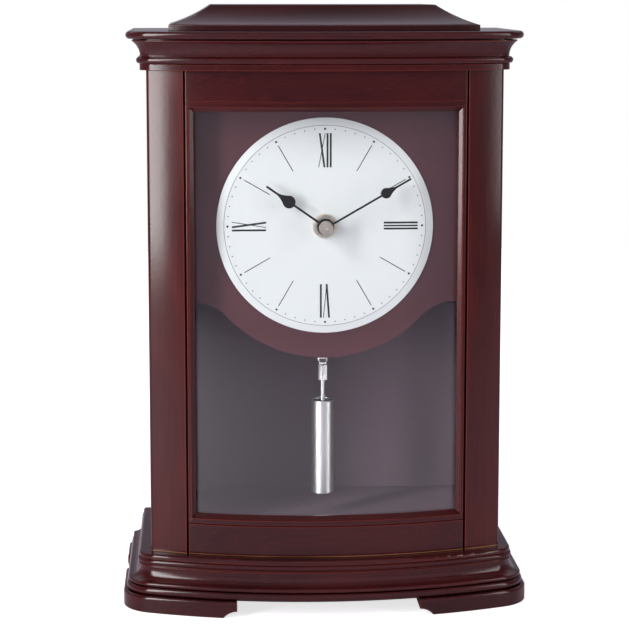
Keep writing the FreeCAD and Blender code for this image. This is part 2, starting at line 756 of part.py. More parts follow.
def mitred(bar, width):
    """Cut both ends of the right upright to 45 degrees in front view."""
    front = BODY_FRONT_Y - OVERRUN
    depth = BOW_AXIS_Y - front
    reach = width + OVERRUN
    x = POST_INNER_X + MITRE_CLEARANCE
    for edge, sign in ((OPENING_BOTTOM_Z, 1), (OPENING_TOP_Z, -1)):
        points = [
            Vector(x + OVERRUN, front, edge - sign * OVERRUN),
            Vector(x - reach, front, edge + sign * reach),
            Vector(x - reach, front, edge - sign * OVERRUN),
        ]
        points.append(points[0])
        bar = bar.cut(Part.Face(Part.makePolygon(points)).extrude(Vector(0, depth, 0)))
    return bar


def mitred_cross(bar, width):
    """Cut both ends of a curved bar to the same lines."""
    front = BODY_FRONT_Y - OVERRUN
    depth = BOW_AXIS_Y - front
    reach = width + OVERRUN
    x = POST_INNER_X
    for side in (-1, 1):
        for edge, sign in ((OPENING_BOTTOM_Z, 1), (OPENING_TOP_Z, -1)):
            points = [
                Vector(side * (x + OVERRUN), front, edge - sign * OVERRUN),
                Vector(side * (x - reach), front, edge + sign * reach),
                Vector(side * (x + OVERRUN), front, edge + sign * reach),
            ]
            points.append(points[0])
            bar = bar.cut(Part.Face(Part.makePolygon(points)).extrude(Vector(0, depth, 0)))
    return bar


def cross_bead(edge_z, sign):
    """Glazing bead along the top or bottom rail."""
    bar = mitred_cross(curved_bar(bead_outline(), edge_z, sign), BEAD_WIDTH)
    return bar.cut(shadow_gap_cutter(OPENING_BOTTOM_Z, OPENING_TOP_Z))


def upright_bead():
    """Glazing bead beside the right post."""
    bar = mitred(upright_bar(bead_outline()), BEAD_WIDTH)
    return bar.cut(shadow_gap_cutter(OPENING_BOTTOM_Z, OPENING_TOP_Z))


def glass_strips():
    """Four strips pinned inside the bead, behind the glass."""
    right = mitred(upright_bar(strip_outline()), BEAD_WIDTH)
    top = mitred_cross(curved_bar(strip_outline(), OPENING_TOP_Z, -1), BEAD_WIDTH)
    bottom = mitred_cross(curved_bar(strip_outline(), OPENING_BOTTOM_Z, 1), BEAD_WIDTH)
    return group([right, mirror_x(right), top, bottom])


def front_glass():
    """Bent pane in the bead's rebate."""
    inset = BEAD_LEG_WIDTH + GLASS_EDGE_CLEARANCE
    half = POST_INNER_X - inset
    back = GLASS_DEPTH + GLASS_THICKNESS
    return bow_ring(GLASS_DEPTH, back, -half, half, OPENING_BOTTOM_Z + inset, OPENING_TOP_Z - inset)


# Cornice and roof

def cornice_moulding():
    """Square band, bead and hollow under the top board."""
    z1 = CORNICE_Z + FRIEZE_HEIGHT
    z2 = z1 + CORNICE_QUIRK
    z3 = z2 + CORNICE_BEAD_HEIGHT
    z4 = z3 + CORNICE_QUIRK
    root = CORNICE_COVE_ROOT
    back = FRIEZE_OVERHANG - CORNICE_QUIRK_DEPTH
    full = math.asin(CORNICE_COVE_RISE / CORNICE_COVE_RADIUS)
    cove_x = root + CORNICE_COVE_RADIUS * (1 - math.cos(full))
    mid_x = root + CORNICE_COVE_RADIUS * (1 - math.cos(full / 2))
    mid_z = z4 + CORNICE_COVE_RADIUS * math.sin(full / 2)
    z5 = z4 + CORNICE_COVE_RISE
    z6 = TOP_BOARD_Z - (TOP_BOARD_Z - z5) / 2
    return moulded_board([
        (-RING_INSET, CORNICE_Z),
        (FRIEZE_OVERHANG, CORNICE_Z),
        (FRIEZE_OVERHANG, z1),
        (back, z1),
        (back, z2),
        (CORNICE_BEAD_NOSE, (z2 + z3) / 2, back, z3),
        (back, z4),
        (root, z4),
        (mid_x, mid_z, cove_x, z5),
        (cove_x, z6),
        (cove_x - CORNICE_RECESS_STEP, z6),
        (cove_x - CORNICE_RECESS_STEP, TOP_BOARD_Z),
        (-RING_INSET, TOP_BOARD_Z),
    ])


def cornice_top_board():
    """Thin top board with a bullnose edge."""
    middle = (TOP_BOARD_Z + ROOF_Z) / 2
    return moulded_board([
        (-RING_INSET, TOP_BOARD_Z),
        (TOP_BOARD_SHOULDER, TOP_BOARD_Z),
        (TOP_BOARD_NOSE, middle, TOP_BOARD_SHOULDER, ROOF_Z),
        (-RING_INSET, ROOF_Z),
    ])


def roof_edges():
    """The roof's slope as setbacks and heights: foot, lip, middle, top."""
    slope_z = ROOF_Z + ROOF_SQUARE_HEIGHT
    top_z = slope_z + ROOF_RISE
    lip = ROOF_BASE_SETBACK + ROOF_SLOPE_LIP
    run = ROOF_TOP_SETBACK - lip
    length = math.hypot(run, ROOF_RISE)
    mid_setback = (lip + ROOF_TOP_SETBACK) / 2 + ROOF_SLOPE_SAG * ROOF_RISE / length
    mid_z = (slope_z + top_z) / 2 - ROOF_SLOPE_SAG * run / length
    return lip, slope_z, mid_setback, mid_z, top_z


def roof_cap():
    """Low hollow-sided roof: the bowed front and straight sides meet in hips."""
    lip, slope_z, mid_setback, mid_z, top_z = roof_edges()

    def slice_wire(place):
        return [
            line(place(ROOF_BASE_SETBACK, ROOF_Z), place(ROOF_BASE_SETBACK, slope_z)),
            line(place(ROOF_BASE_SETBACK, slope_z), place(lip, slope_z)),
            arc(place(lip, slope_z), place(mid_setback, mid_z), place(ROOF_TOP_SETBACK, top_z)),
        ]

    def front_place(setback, z):
        return Vector(0, BODY_FRONT_Y + setback, z)

    axis_top = Vector(0, BOW_AXIS_Y, top_z)
    axis_low = Vector(0, BOW_AXIS_Y, ROOF_Z)
    edges = slice_wire(front_place)
    edges.append(line(front_place(ROOF_TOP_SETBACK, top_z), axis_top))
    edges.append(line(axis_top, axis_low))
    edges.append(line(axis_low, front_place(ROOF_BASE_SETBACK, ROOF_Z)))
    turned = Part.Face(Part.Wire(edges)).revolve(axis_low, Vector(0, 0, 1), 360)

    front = BODY_FRONT_Y - OVERRUN

    def right_place(setback, z):
        return Vector(BODY_HALF_WIDTH - setback, front, z)

    def left_place(setback, z):
        return Vector(setback - BODY_HALF_WIDTH, front, z)

    edges = slice_wire(right_place) + slice_wire(left_place)
    edges.append(line(right_place(ROOF_TOP_SETBACK, top_z), left_place(ROOF_TOP_SETBACK, top_z)))
    edges.append(line(left_place(ROOF_BASE_SETBACK, ROOF_Z), right_place(ROOF_BASE_SETBACK, ROOF_Z)))
    wire = Part.Wire(Part.__sortEdges__(edges))
    straight = Part.Face(wire).extrude(Vector(0, CASE_BACK_Y - front, 0))
    return turned.common(straight)


# Dial board and dial

def board_screw_places():
    """Four screws through the dial board into the posts."""
    x = SIDE_INNER_X - BOARD_SCREW_FROM_EDGE
    high = DIAL_CENTRE_Z + BOARD_SCREW_RISE
    low = DIAL_CENTRE_Z - BOARD_SCREW_DROP
    return [(-x, low), (x, low), (-x, high), (x, high)]


def board_screw_holes():
    tip = DIAL_BOARD_BACK_Y - BOARD_SCREW_LENGTH
    radius = BOARD_SCREW_RADIUS + PRESS_CLEARANCE
    return group([rod_y(x, z, radius, tip, DIAL_BOARD_BACK_Y) for x, z in board_screw_places()])


def pan_screw(x, z, radius, length, seat, head_radius, head_height):
    """Slotted pan-head screw driven towards the front, seated at a Y level."""
    shank = rod_y(x, z, radius, seat - length, seat)
    head = rod_y(x, z, head_radius, seat, seat + head_height)
    half = BOARD_SCREW_SLOT_WIDTH / 2
    low = seat + head_height - BOARD_SCREW_SLOT_DEPTH
    slot = box(x - head_radius, x + head_radius, low, seat + head_height + OVERRUN, z - half, z + half)
    return shank.fuse(head).removeSplitter().cut(slot)


def board_screws():
    """Four screws that hold the dial board and three that hold the movement."""
    screws = []
    for x, z in board_screw_places():
        screws.append(pan_screw(x, z, BOARD_SCREW_RADIUS, BOARD_SCREW_LENGTH, DIAL_BOARD_BACK_Y,
                                BOARD_SCREW_HEAD_RADIUS, BOARD_SCREW_HEAD_HEIGHT))
    seat = DIAL_BOARD_BACK_Y + MOVEMENT_EAR_THICKNESS
    for x, z in ear_places():
        screws.append(pan_screw(x, z, MOVEMENT_SCREW_RADIUS, MOVEMENT_SCREW_LENGTH, seat,
                                MOVEMENT_SCREW_HEAD_RADIUS, MOVEMENT_SCREW_HEAD_HEIGHT))
    return group(screws)


def ear_screw_holes():
    """Holes for the movement's screws, through its ears and into the board."""
    seat = DIAL_BOARD_BACK_Y + MOVEMENT_EAR_THICKNESS
    radius = MOVEMENT_SCREW_RADIUS + PRESS_CLEARANCE
    return group([rod_y(x, z, radius, seat - MOVEMENT_SCREW_LENGTH, seat) for x, z in ear_places()])


def bushing_hole(y0, y1):
    """Hole for the threaded tube, through all that it clamps."""
    return rod_y(0, DIAL_CENTRE_Z, BUSHING_RADIUS + PRESS_CLEARANCE, y0, y1)


def dial_board():
    """Board that carries the dial: its lower edge drops round the dial in an ogee."""
    half = SIDE_INNER_X - FIT_CLEARANCE
    top = CORNICE_Z - DIAL_BOARD_TOP_GAP
    centres = DIAL_BOARD_ARC_RADIUS + DIAL_BOARD_OGEE_RADIUS
    small_x = half - DIAL_BOARD_SHOULDER_WIDTH
    small_z = DIAL_CENTRE_Z - math.sqrt(centres ** 2 - small_x ** 2)
    shoulder = small_z + DIAL_BOARD_OGEE_RADIUS
    share = DIAL_BOARD_ARC_RADIUS / centres
    join_x = small_x * share
    join_z = DIAL_CENTRE_Z - (DIAL_CENTRE_Z - small_z) * share
    from_top = math.atan2(small_x - join_x, join_z - small_z) / 2
    mid_x = small_x - DIAL_BOARD_OGEE_RADIUS * math.sin(from_top)
    mid_z = small_z + DIAL_BOARD_OGEE_RADIUS * math.cos(from_top)
    y = POST_BACK_Y

    def place(x, z):
        return Vector(x, y, z)

    lowest = place(0, DIAL_CENTRE_Z - DIAL_BOARD_ARC_RADIUS)
    edges = [
        line(place(-half, top), place(-half, shoulder)),
        line(place(-half, shoulder), place(-small_x, shoulder)),
        arc(place(-small_x, shoulder), place(-mid_x, mid_z), place(-join_x, join_z)),
        arc(place(-join_x, join_z), lowest, place(join_x, join_z)),
        arc(place(join_x, join_z), place(mid_x, mid_z), place(small_x, shoulder)),
        line(place(small_x, shoulder), place(half, shoulder)),
        line(place(half, shoulder), place(half, top)),
        line(place(half, top), place(-half, top)),
    ]
    board = Part.Face(Part.Wire(edges)).extrude(Vector(0, DIAL_BOARD_THICKNESS, 0))
    bore = bushing_hole(y - OVERRUN, DIAL_BOARD_BACK_Y + OVERRUN)
    return board.cut(bore).cut(board_screw_holes()).cut(ear_screw_holes())


def dial_plate():
    """Metal dial with a bevelled rim."""
    inner = DIAL_RADIUS - DIAL_BEVEL_WIDTH
    plate = rod_y(0, DIAL_CENTRE_Z, DIAL_RADIUS, DIAL_FACE_Y + DIAL_BEVEL_DROP, POST_BACK_Y)
    rise = cone_y(0, DIAL_CENTRE_Z, inner, DIAL_RADIUS, DIAL_FACE_Y, DIAL_FACE_Y + DIAL_BEVEL_DROP)
    return plate.fuse(rise).removeSplitter().cut(bushing_hole(DIAL_FACE_Y - OVERRUN, POST_BACK_Y + OVERRUN))


def dial_washer():
    front = DIAL_FACE_Y - WASHER_THICKNESS
    return ring_y(0, DIAL_CENTRE_Z, WASHER_RADIUS, BUSHING_RADIUS + PRESS_CLEARANCE, front, DIAL_FACE_Y)


def dial_nut():
    """Round nut with a chamfer and two spanner slots."""
    back = DIAL_FACE_Y - WASHER_THICKNESS
    front = back - NUT_THICKNESS
    body = rod_y(0, DIAL_CENTRE_Z, NUT_RADIUS, front + NUT_CHAMFER, back)
    taper = cone_y(0, DIAL_CENTRE_Z, NUT_RADIUS - NUT_CHAMFER, NUT_RADIUS, front, front + NUT_CHAMFER)
    bore = bushing_hole(front - OVERRUN, back + OVERRUN)
    half = NUT_SLOT_WIDTH / 2
    reach = NUT_RADIUS + OVERRUN
    low = DIAL_CENTRE_Z - half
    high = DIAL_CENTRE_Z + half
    slot = box(-reach, reach, front - OVERRUN, front + NUT_SLOT_DEPTH, low, high)
    slot.rotate(Vector(0, 0, DIAL_CENTRE_Z), Vector(0, 1, 0), HOUR_HAND_DEGREES - 180)
    return body.fuse(taper).removeSplitter().cut(bore).cut(slot)


# Hands

def hand_blade(start, reach, blob_place, blob_radius, taper_end, stem_width, boss_radius):
    """Flat hand pointing up: stem, round blob, hollow taper and thin point."""
    y0 = DIAL_FACE_Y - start - HAND_THICKNESS
    y1 = DIAL_FACE_Y - start
    z = DIAL_CENTRE_Z
    half = stem_width / 2
    lean = math.radians(HAND_SHOULDER_DEGREES)
    side_x = blob_radius * math.sin(lean)
    side_z = blob_place + blob_radius * math.cos(lean)
    mid_x = half + (side_x - half) * HAND_TAPER_SHARE
    mid_z = (side_z + taper_end) / 2

    def place(x, height):
        return Vector(x, y0, z + height)

    stem = box(-half, half, y0, y1, z + boss_radius * math.cos(lean), z + blob_place)
    blob = rod_y(0, z + blob_place, blob_radius, y0, y1)
    tip = box(-half, half, y0, y1, z + taper_end, z + reach - half)
    point = rod_y(0, z + reach - half, half, y0, y1)
    edges = [
        line(place(-side_x, side_z), place(side_x, side_z)),
        arc(place(side_x, side_z), place(mid_x, mid_z), place(half, taper_end)),
        line(place(half, taper_end), place(-half, taper_end)),
        arc(place(-half, taper_end), place(-mid_x, mid_z), place(-side_x, side_z)),
    ]
    taper = Part.Face(Part.Wire(edges)).extrude(Vector(0, y1 - y0, 0))
    return stem.fuse([blob, taper, tip, point]).removeSplitter()


def turned_to(shape, degrees):
    """Turn clockwise, seen from the front, about the centre of the dial."""
    shape.rotate(Vector(0, 0, DIAL_CENTRE_Z), Vector(0, 1, 0), degrees)
    return shape


def hour_hand():
    back = DIAL_FACE_Y - HOUR_BOSS_START
    boss = rod_y(0, DIAL_CENTRE_Z, HOUR_BOSS_RADIUS, back - HOUR_BOSS_LENGTH, back)
    blade = hand_blade(HOUR_BLADE_START, HOUR_HAND_REACH, HOUR_BLOB_PLACE, HOUR_BLOB_RADIUS,
                       HOUR_TAPER_END, HOUR_STEM_WIDTH, HOUR_BOSS_RADIUS)
    bore = rod_y(0, DIAL_CENTRE_Z, HOUR_PIPE_RADIUS, back - HOUR_BOSS_LENGTH - OVERRUN, back + OVERRUN)
    return turned_to(boss.fuse(blade).removeSplitter().cut(bore), HOUR_HAND_DEGREES)


def minute_hand():
    back = DIAL_FACE_Y - MINUTE_BOSS_START
    boss = rod_y(0, DIAL_CENTRE_Z, MINUTE_BOSS_RADIUS, back - MINUTE_BOSS_LENGTH, back)
    blade = hand_blade(MINUTE_BLADE_START, MINUTE_HAND_REACH, MINUTE_BLOB_PLACE, MINUTE_BLOB_RADIUS,
                       MINUTE_TAPER_END, MINUTE_STEM_WIDTH, MINUTE_BOSS_RADIUS)
    bore = rod_y(0, DIAL_CENTRE_Z, MINUTE_ARBOR_RADIUS, back - MINUTE_BOSS_LENGTH - OVERRUN, back + OVERRUN)
    return turned_to(boss.fuse(blade).removeSplitter().cut(bore), MINUTE_HAND_DEGREES)


def centre_cap():
    """Flat-faced cap nut on the end of the minute arbor."""
    back = DIAL_FACE_Y - MINUTE_BOSS_START - MINUTE_BOSS_LENGTH
    front = back - CAP_LENGTH
    body = rod_y(0, DIAL_CENTRE_Z, CAP_RADIUS, front + CAP_EDGE, back)
    edge = cone_y(0, DIAL_CENTRE_Z, CAP_RADIUS - CAP_EDGE, CAP_RADIUS, front, front + CAP_EDGE)
    dimple = cone_y(0, DIAL_CENTRE_Z, CAP_DIMPLE_RADIUS, 0, front, front + CAP_DIMPLE_DEPTH)
    seat = rod_y(0, DIAL_CENTRE_Z, MINUTE_ARBOR_RADIUS, DIAL_FACE_Y - MINUTE_ARBOR_PROUD, back + OVERRUN)
    return body.fuse(edge).removeSplitter().cut(dimple).cut(seat)


# Gears

def gear(teeth, module, y0, y1, phase):
    """Involute spur gear about the Y axis through the origin, one tooth at the phase angle."""
    pressure = math.radians(PRESSURE_DEGREES)
    pitch = module * teeth / 2
    base = pitch * math.cos(pressure)
    tip = pitch + ADDENDUM_SHARE * module
    root = pitch - DEDENDUM_SHARE * module
    half = math.pi / (2 * teeth) - BACKLASH / (4 * pitch)
    roll = math.tan(pressure) - pressure

    def half_angle(radius):
        if radius <= base:
            return half + roll
        angle = math.acos(base / radius)
        return half + roll - (math.tan(angle) - angle)

    steps = 4
    low = max(base, root)
    radii = [low + (tip - low) * index / steps for index in range(steps + 1)]
    if root < base:
        radii = [root] + radii
    points = []
    for tooth in range(teeth):
        centre = phase + 2 * math.pi * tooth / teeth
        for radius in radii:
            angle = centre - half_angle(radius)
            points.append(Vector(radius * math.sin(angle), y0, radius * math.cos(angle)))
        for radius in reversed(radii):
            angle = centre + half_angle(radius)
            points.append(Vector(radius * math.sin(angle), y0, radius * math.cos(angle)))
    points.append(points[0])
    return Part.Face(Part.makePolygon(points)).extrude(Vector(0, y1 - y0, 0))


def gear_levels():
    """Y ranges of the hour layer and the minute layer."""
    hour_front = DIAL_BOARD_BACK_Y + MOVEMENT_WALL + HOUR_WHEEL_GAP
    hour_back = hour_front + WHEEL_THICKNESS
    minute_front = hour_front + WHEEL_LAYER_STEP
    minute_back = minute_front + WHEEL_THICKNESS
    return hour_front, hour_back, minute_front, minute_back


def minute_arbor():
    """Arbor from the cap to the setting knob, with the cannon pinion on it."""
    minute_front, minute_back = gear_levels()[2:]
    module = 2 * WHEEL_CENTRES / (CANNON_TEETH + MINUTE_WHEEL_TEETH)
    end = MOVEMENT_BACK_Y + KNOB_GAP + KNOB_LENGTH / 2
    shaft = rod_y(0, DIAL_CENTRE_Z, MINUTE_ARBOR_RADIUS, DIAL_FACE_Y - MINUTE_ARBOR_PROUD, end)
    pinion = gear(CANNON_TEETH, module, minute_front, minute_back, 0)
    pinion.translate(Vector(0, 0, DIAL_CENTRE_Z))
    return shaft.fuse(pinion).removeSplitter()


def minute_wheel():
    """Wheel and pinion that turn the cannon's motion into the hour wheel's."""
    hour_front = gear_levels()[0]
    minute_front, minute_back = gear_levels()[2:]
    module = 2 * WHEEL_CENTRES / (CANNON_TEETH + MINUTE_WHEEL_TEETH)
    hour_module = 2 * WHEEL_CENTRES / (MINUTE_PINION_TEETH + HOUR_WHEEL_TEETH)
    z = DIAL_CENTRE_Z + WHEEL_CENTRES
    half_tooth = math.pi / MINUTE_WHEEL_TEETH
    wheel = gear(MINUTE_WHEEL_TEETH, module, minute_front, minute_back, math.pi + half_tooth)
    pinion = gear(MINUTE_PINION_TEETH, hour_module, hour_front, minute_front, math.pi)
    both = wheel.fuse(pinion).removeSplitter()
    both.translate(Vector(0, 0, z))
    bore = rod_y(0, z, WHEEL_POST_RADIUS + RUNNING_CLEARANCE, hour_front - OVERRUN, minute_back + OVERRUN)
    return both.cut(bore)


def hour_wheel():
    """Hour wheel on its pipe, which carries the hour hand."""
    hour_front, hour_back = gear_levels()[:2]
    hour_module = 2 * WHEEL_CENTRES / (MINUTE_PINION_TEETH + HOUR_WHEEL_TEETH)
    wheel = gear(HOUR_WHEEL_TEETH, hour_module, hour_front, hour_back, math.pi / HOUR_WHEEL_TEETH)
    wheel.translate(Vector(0, 0, DIAL_CENTRE_Z))
    front = DIAL_FACE_Y - HOUR_PIPE_PROUD
    pipe = rod_y(0, DIAL_CENTRE_Z, HOUR_PIPE_RADIUS, front, hour_back)
    bore = rod_y(0, DIAL_CENTRE_Z, HOUR_PIPE_BORE, front - OVERRUN, hour_back + OVERRUN)
    return wheel.fuse(pipe).removeSplitter().cut(bore)


# Movement

def hand_bushing():
    """Threaded tube that clamps the movement, board and dial together."""
    front = DIAL_FACE_Y - BUSHING_PROUD
    back = DIAL_BOARD_BACK_Y + MOVEMENT_WALL
    return ring_y(0, DIAL_CENTRE_Z, BUSHING_RADIUS, BUSHING_BORE, front, back)


def ear_places():
    """Screw ears at the sides of the movement."""
    x = MOVEMENT_HALF_WIDTH + MOVEMENT_EAR_SIZE / 2
    low = MOVEMENT_BOTTOM_Z + MOVEMENT_EAR_SIZE
    high = MOVEMENT_TOP_Z - MOVEMENT_EAR_SIZE
    return [(-x, low), (x, low), (-x, high)]


def movement_front_case():
    """Front half of the movement box, with the wheel post and screw ears."""
    y0 = DIAL_BOARD_BACK_Y
    y1 = MOVEMENT_SPLIT_Y
    wall = MOVEMENT_WALL
    x = MOVEMENT_HALF_WIDTH
    shell = box(-x, x, y0, y1, MOVEMENT_BOTTOM_Z, MOVEMENT_TOP_Z)
    ear_y = y0 + MOVEMENT_EAR_THICKNESS
    for ear_x, ear_z in ear_places():
        side = 1 if ear_x > 0 else -1
        near = side * (x - wall)
        far = side * (x + MOVEMENT_EAR_SIZE)
        half = MOVEMENT_EAR_SIZE / 2
        ear = box(min(near, far), max(near, far), y0, ear_y, ear_z - half, ear_z + half)
        shell = shell.fuse(ear)
    low = MOVEMENT_BOTTOM_Z + wall
    high = MOVEMENT_TOP_Z - wall
    shell = shell.cut(box(wall - x, x - wall, y0 + wall, y1 + OVERRUN, low, high))
    minute_back = gear_levels()[3]
    post_z = DIAL_CENTRE_Z + WHEEL_CENTRES
    post = rod_y(0, post_z, WHEEL_POST_RADIUS, y0 + wall / 2, minute_back + WHEEL_POST_CAP)
    shell = shell.fuse(post).removeSplitter()
    shell = shell.cut(bushing_hole(y0 - OVERRUN, y0 + wall + OVERRUN / 2))
    return shell.cut(ear_screw_holes())


def bay_bounds():
    """Inside of the battery bay."""
    half = CELL_LENGTH / 2 + BAY_END_SPACE
    z0 = MOVEMENT_BOTTOM_Z + BAY_BOTTOM_RISE
    cells_high = CELL_GAP + 2 * CELL_RADIUS
    z1 = z0 + 2 * cells_high + CELL_GAP
    y0 = MOVEMENT_BACK_Y - 2 * CELL_RADIUS - CELL_GAP
    return half, y0, z0, z1


def movement_rear_case():
    """Rear half: open battery bay, slots for the slides, lugs for the pendulum pin."""
    x = MOVEMENT_HALF_WIDTH
    y0 = MOVEMENT_SPLIT_Y
    y1 = MOVEMENT_BACK_Y
    wall = MOVEMENT_WALL
    shell = box(-x, x, y0, y1, MOVEMENT_BOTTOM_Z, MOVEMENT_TOP_Z)
    low = MOVEMENT_BOTTOM_Z + wall
    high = MOVEMENT_TOP_Z - wall
    shell = shell.cut(box(wall - x, x - wall, y0 - OVERRUN, y1 - wall, low, high))
    half, bay_y, z0, z1 = bay_bounds()
    outer = half + BAY_WALL
    shell = shell.fuse(box(-outer, outer, bay_y - BAY_WALL, y1 - wall, MOVEMENT_BOTTOM_Z, z1 + BAY_WALL))
    shell = shell.cut(box(-half, half, bay_y, y1 + OVERRUN, z0, z1))
    shell = shell.fuse(circuit_posts() + pendulum_lugs()).removeSplitter()
    tall = SLIDER_STEM / 2 + SLIDER_GAP
    for slide_x, travel in ((SELECTOR_X, SELECTOR_TRAVEL), (VOLUME_X, VOLUME_TRAVEL)):
        left = slide_x - travel - tall
        right = slide_x + travel + tall
        slot = box(left, right, y1 - wall - OVERRUN, y1 + OVERRUN, SLIDER_Z - tall, SLIDER_Z + tall)
        shell = shell.cut(slot)
    shell = shell.cut(rod_y(0, DIAL_CENTRE_Z, MINUTE_ARBOR_RADIUS + RUNNING_CLEARANCE, y0, y1 + OVERRUN))
    lug_y0, lug_y1 = lug_range()
    pivot_bore = PIVOT_RADIUS + RUNNING_CLEARANCE
    return shell.cut(rod_y(0, PIVOT_Z, pivot_bore, lug_y0 - OVERRUN, lug_y1 + OVERRUN))


def lug_range():
    """Front of the front lug and back of the back lug."""
    reach = LUG_SPACE / 2 + LUG_THICKNESS
    return PENDULUM_Y - reach, PENDULUM_Y + reach


def pendulum_lugs():
    """Two lugs under the movement, the front one on a foot below the front case."""
    top = MOVEMENT_BOTTOM_Z
    y0, y1 = lug_range()
    pieces = [box(-LUG_HALF_WIDTH, LUG_HALF_WIDTH, y0, y1, top - MOVEMENT_WALL, top)]
    for y in (y0, y1 - LUG_THICKNESS):
        pieces.append(box(-LUG_HALF_WIDTH, LUG_HALF_WIDTH, y, y + LUG_THICKNESS, PIVOT_Z, top))
        pieces.append(rod_y(0, PIVOT_Z, LUG_TIP_RADIUS, y, y + LUG_THICKNESS))
        pieces.append(lug_shoulder(y))
    return pieces


def lug_shoulder(y):
    """Sloping sides from a lug's full width to its round tip."""
    lean = LUG_TIP_RADIUS
    points = [
        Vector(-LUG_HALF_WIDTH, y, PIVOT_Z),
        Vector(-lean, y, PIVOT_Z - lean / 2),
        Vector(lean, y, PIVOT_Z - lean / 2),
        Vector(LUG_HALF_WIDTH, y, PIVOT_Z),
        Vector(-LUG_HALF_WIDTH, y, PIVOT_Z),
    ]
    return Part.Face(Part.makePolygon(points)).extrude(Vector(0, LUG_THICKNESS, 0))


def circuit_posts():
    """Four short posts that carry the circuit board."""
    y0 = circuit_level()
    y1 = MOVEMENT_BACK_Y - MOVEMENT_WALL
    left = CIRCUIT_LEFT_X + CIRCUIT_POST_INSET
    right = CIRCUIT_LEFT_X + CIRCUIT_WIDTH - CIRCUIT_POST_INSET
    low = CIRCUIT_BOTTOM_Z + CIRCUIT_POST_INSET
    high = CIRCUIT_BOTTOM_Z + CIRCUIT_HEIGHT - CIRCUIT_POST_INSET
    return [rod_y(x, z, CIRCUIT_POST_RADIUS, y0, y1) for x in (left, right) for z in (low, high)]


def circuit_level():
    """Back face of the circuit board, clear of the slides' flanges."""
    return MOVEMENT_BACK_Y - MOVEMENT_WALL - SLIDER_FLANGE_DEPTH - 2 * SLIDER_GAP


def circuit_board():
    y1 = circuit_level()
    x1 = CIRCUIT_LEFT_X + CIRCUIT_WIDTH
    z1 = CIRCUIT_BOTTOM_Z + CIRCUIT_HEIGHT
    return box(CIRCUIT_LEFT_X, x1, y1 - CIRCUIT_THICKNESS, y1, CIRCUIT_BOTTOM_Z, z1)


def drive_coil():
    """Wound coil on its core, on the floor of the front case."""
    flat = COIL_RADIUS * COIL_FLAT_SHARE
    y = DIAL_BOARD_BACK_Y + MOVEMENT_WALL + flat
    z0 = MOVEMENT_BOTTOM_Z + MOVEMENT_WALL
    coil = rod_z(COIL_X, y, COIL_RADIUS, z0 + COIL_RADIUS / 2, z0 + COIL_RADIUS / 2 + COIL_LENGTH)
    keep = box(COIL_X - COIL_RADIUS, COIL_X + COIL_RADIUS, y - flat, y + flat, z0, z0 + 2 * COIL_LENGTH)
    core = rod_z(COIL_X, y, COIL_CORE_RADIUS, z0, z0 + COIL_RADIUS + COIL_LENGTH)
    return coil.common(keep).fuse(core).removeSplitter()


def cell_rows():
    """Heights of the two cells and which way each one points."""
    z0 = bay_bounds()[2]
    low = z0 + CELL_GAP + CELL_RADIUS
    return [(low, 1), (low + 2 * CELL_RADIUS + CELL_GAP, -1)]


def batteries():
    y = MOVEMENT_BACK_Y - CELL_RADIUS - CELL_GAP / 2
    half = CELL_LENGTH / 2
    cells = []
    for z, side in cell_rows():
        body = Part.makeCylinder(CELL_RADIUS, CELL_LENGTH, Vector(-half, y, z), Vector(1, 0, 0))
        start = half if side > 0 else -half - CELL_PIP_LENGTH
        pip = Part.makeCylinder(CELL_PIP_RADIUS, CELL_PIP_LENGTH, Vector(start, y, z), Vector(1, 0, 0))
        cells.append(body.fuse(pip).removeSplitter())
    return group(cells)


def battery_contacts():
    """Plates at both ends of the bay, with a dished tongue to each cell's flat end."""
    half = bay_bounds()[0]
    y = MOVEMENT_BACK_Y - CELL_RADIUS - CELL_GAP / 2
    shapes = []
    for z, side in cell_rows():
        tall = CONTACT_WIDTH / 2
        for end in (-1, 1):
            wall_x = end * half
            inner_x = wall_x - end * CONTACT_THICKNESS
            plate = box(min(wall_x, inner_x), max(wall_x, inner_x), y - tall, y + tall, z - tall, z + tall)
            if end == side:
                tip_x = end * (CELL_LENGTH / 2 + CELL_PIP_LENGTH + PRESS_CLEARANCE)
                radius = CELL_PIP_RADIUS
            else:
                tip_x = end * (CELL_LENGTH / 2 + PRESS_CLEARANCE)
                radius = CONTACT_DISH_RADIUS
            length = abs(inner_x - tip_x)
            stub = Part.makeCone(radius, radius / 2, length, Vector(inner_x, y, z), Vector(-end, 0, 0))
            shapes.append(plate.fuse(stub).removeSplitter())
    return group(shapes)


def time_setting_knob():
    """Ribbed knob on the back end of the minute arbor."""
    y0 = MOVEMENT_BACK_Y + KNOB_GAP
    y1 = y0 + KNOB_LENGTH
    knob = rod_y(0, DIAL_CENTRE_Z, KNOB_RADIUS, y0, y1)
    for index in range(KNOB_RIB_COUNT):
        angle = 2 * math.pi * index / KNOB_RIB_COUNT
        x = KNOB_RADIUS * math.sin(angle)
        z = DIAL_CENTRE_Z + KNOB_RADIUS * math.cos(angle)
        knob = knob.cut(rod_y(x, z, KNOB_RIB_DEPTH, y0 - OVERRUN, y1 + OVERRUN))
    return knob.cut(rod_y(0, DIAL_CENTRE_Z, MINUTE_ARBOR_RADIUS, y0 - OVERRUN, y0 + KNOB_LENGTH / 2))


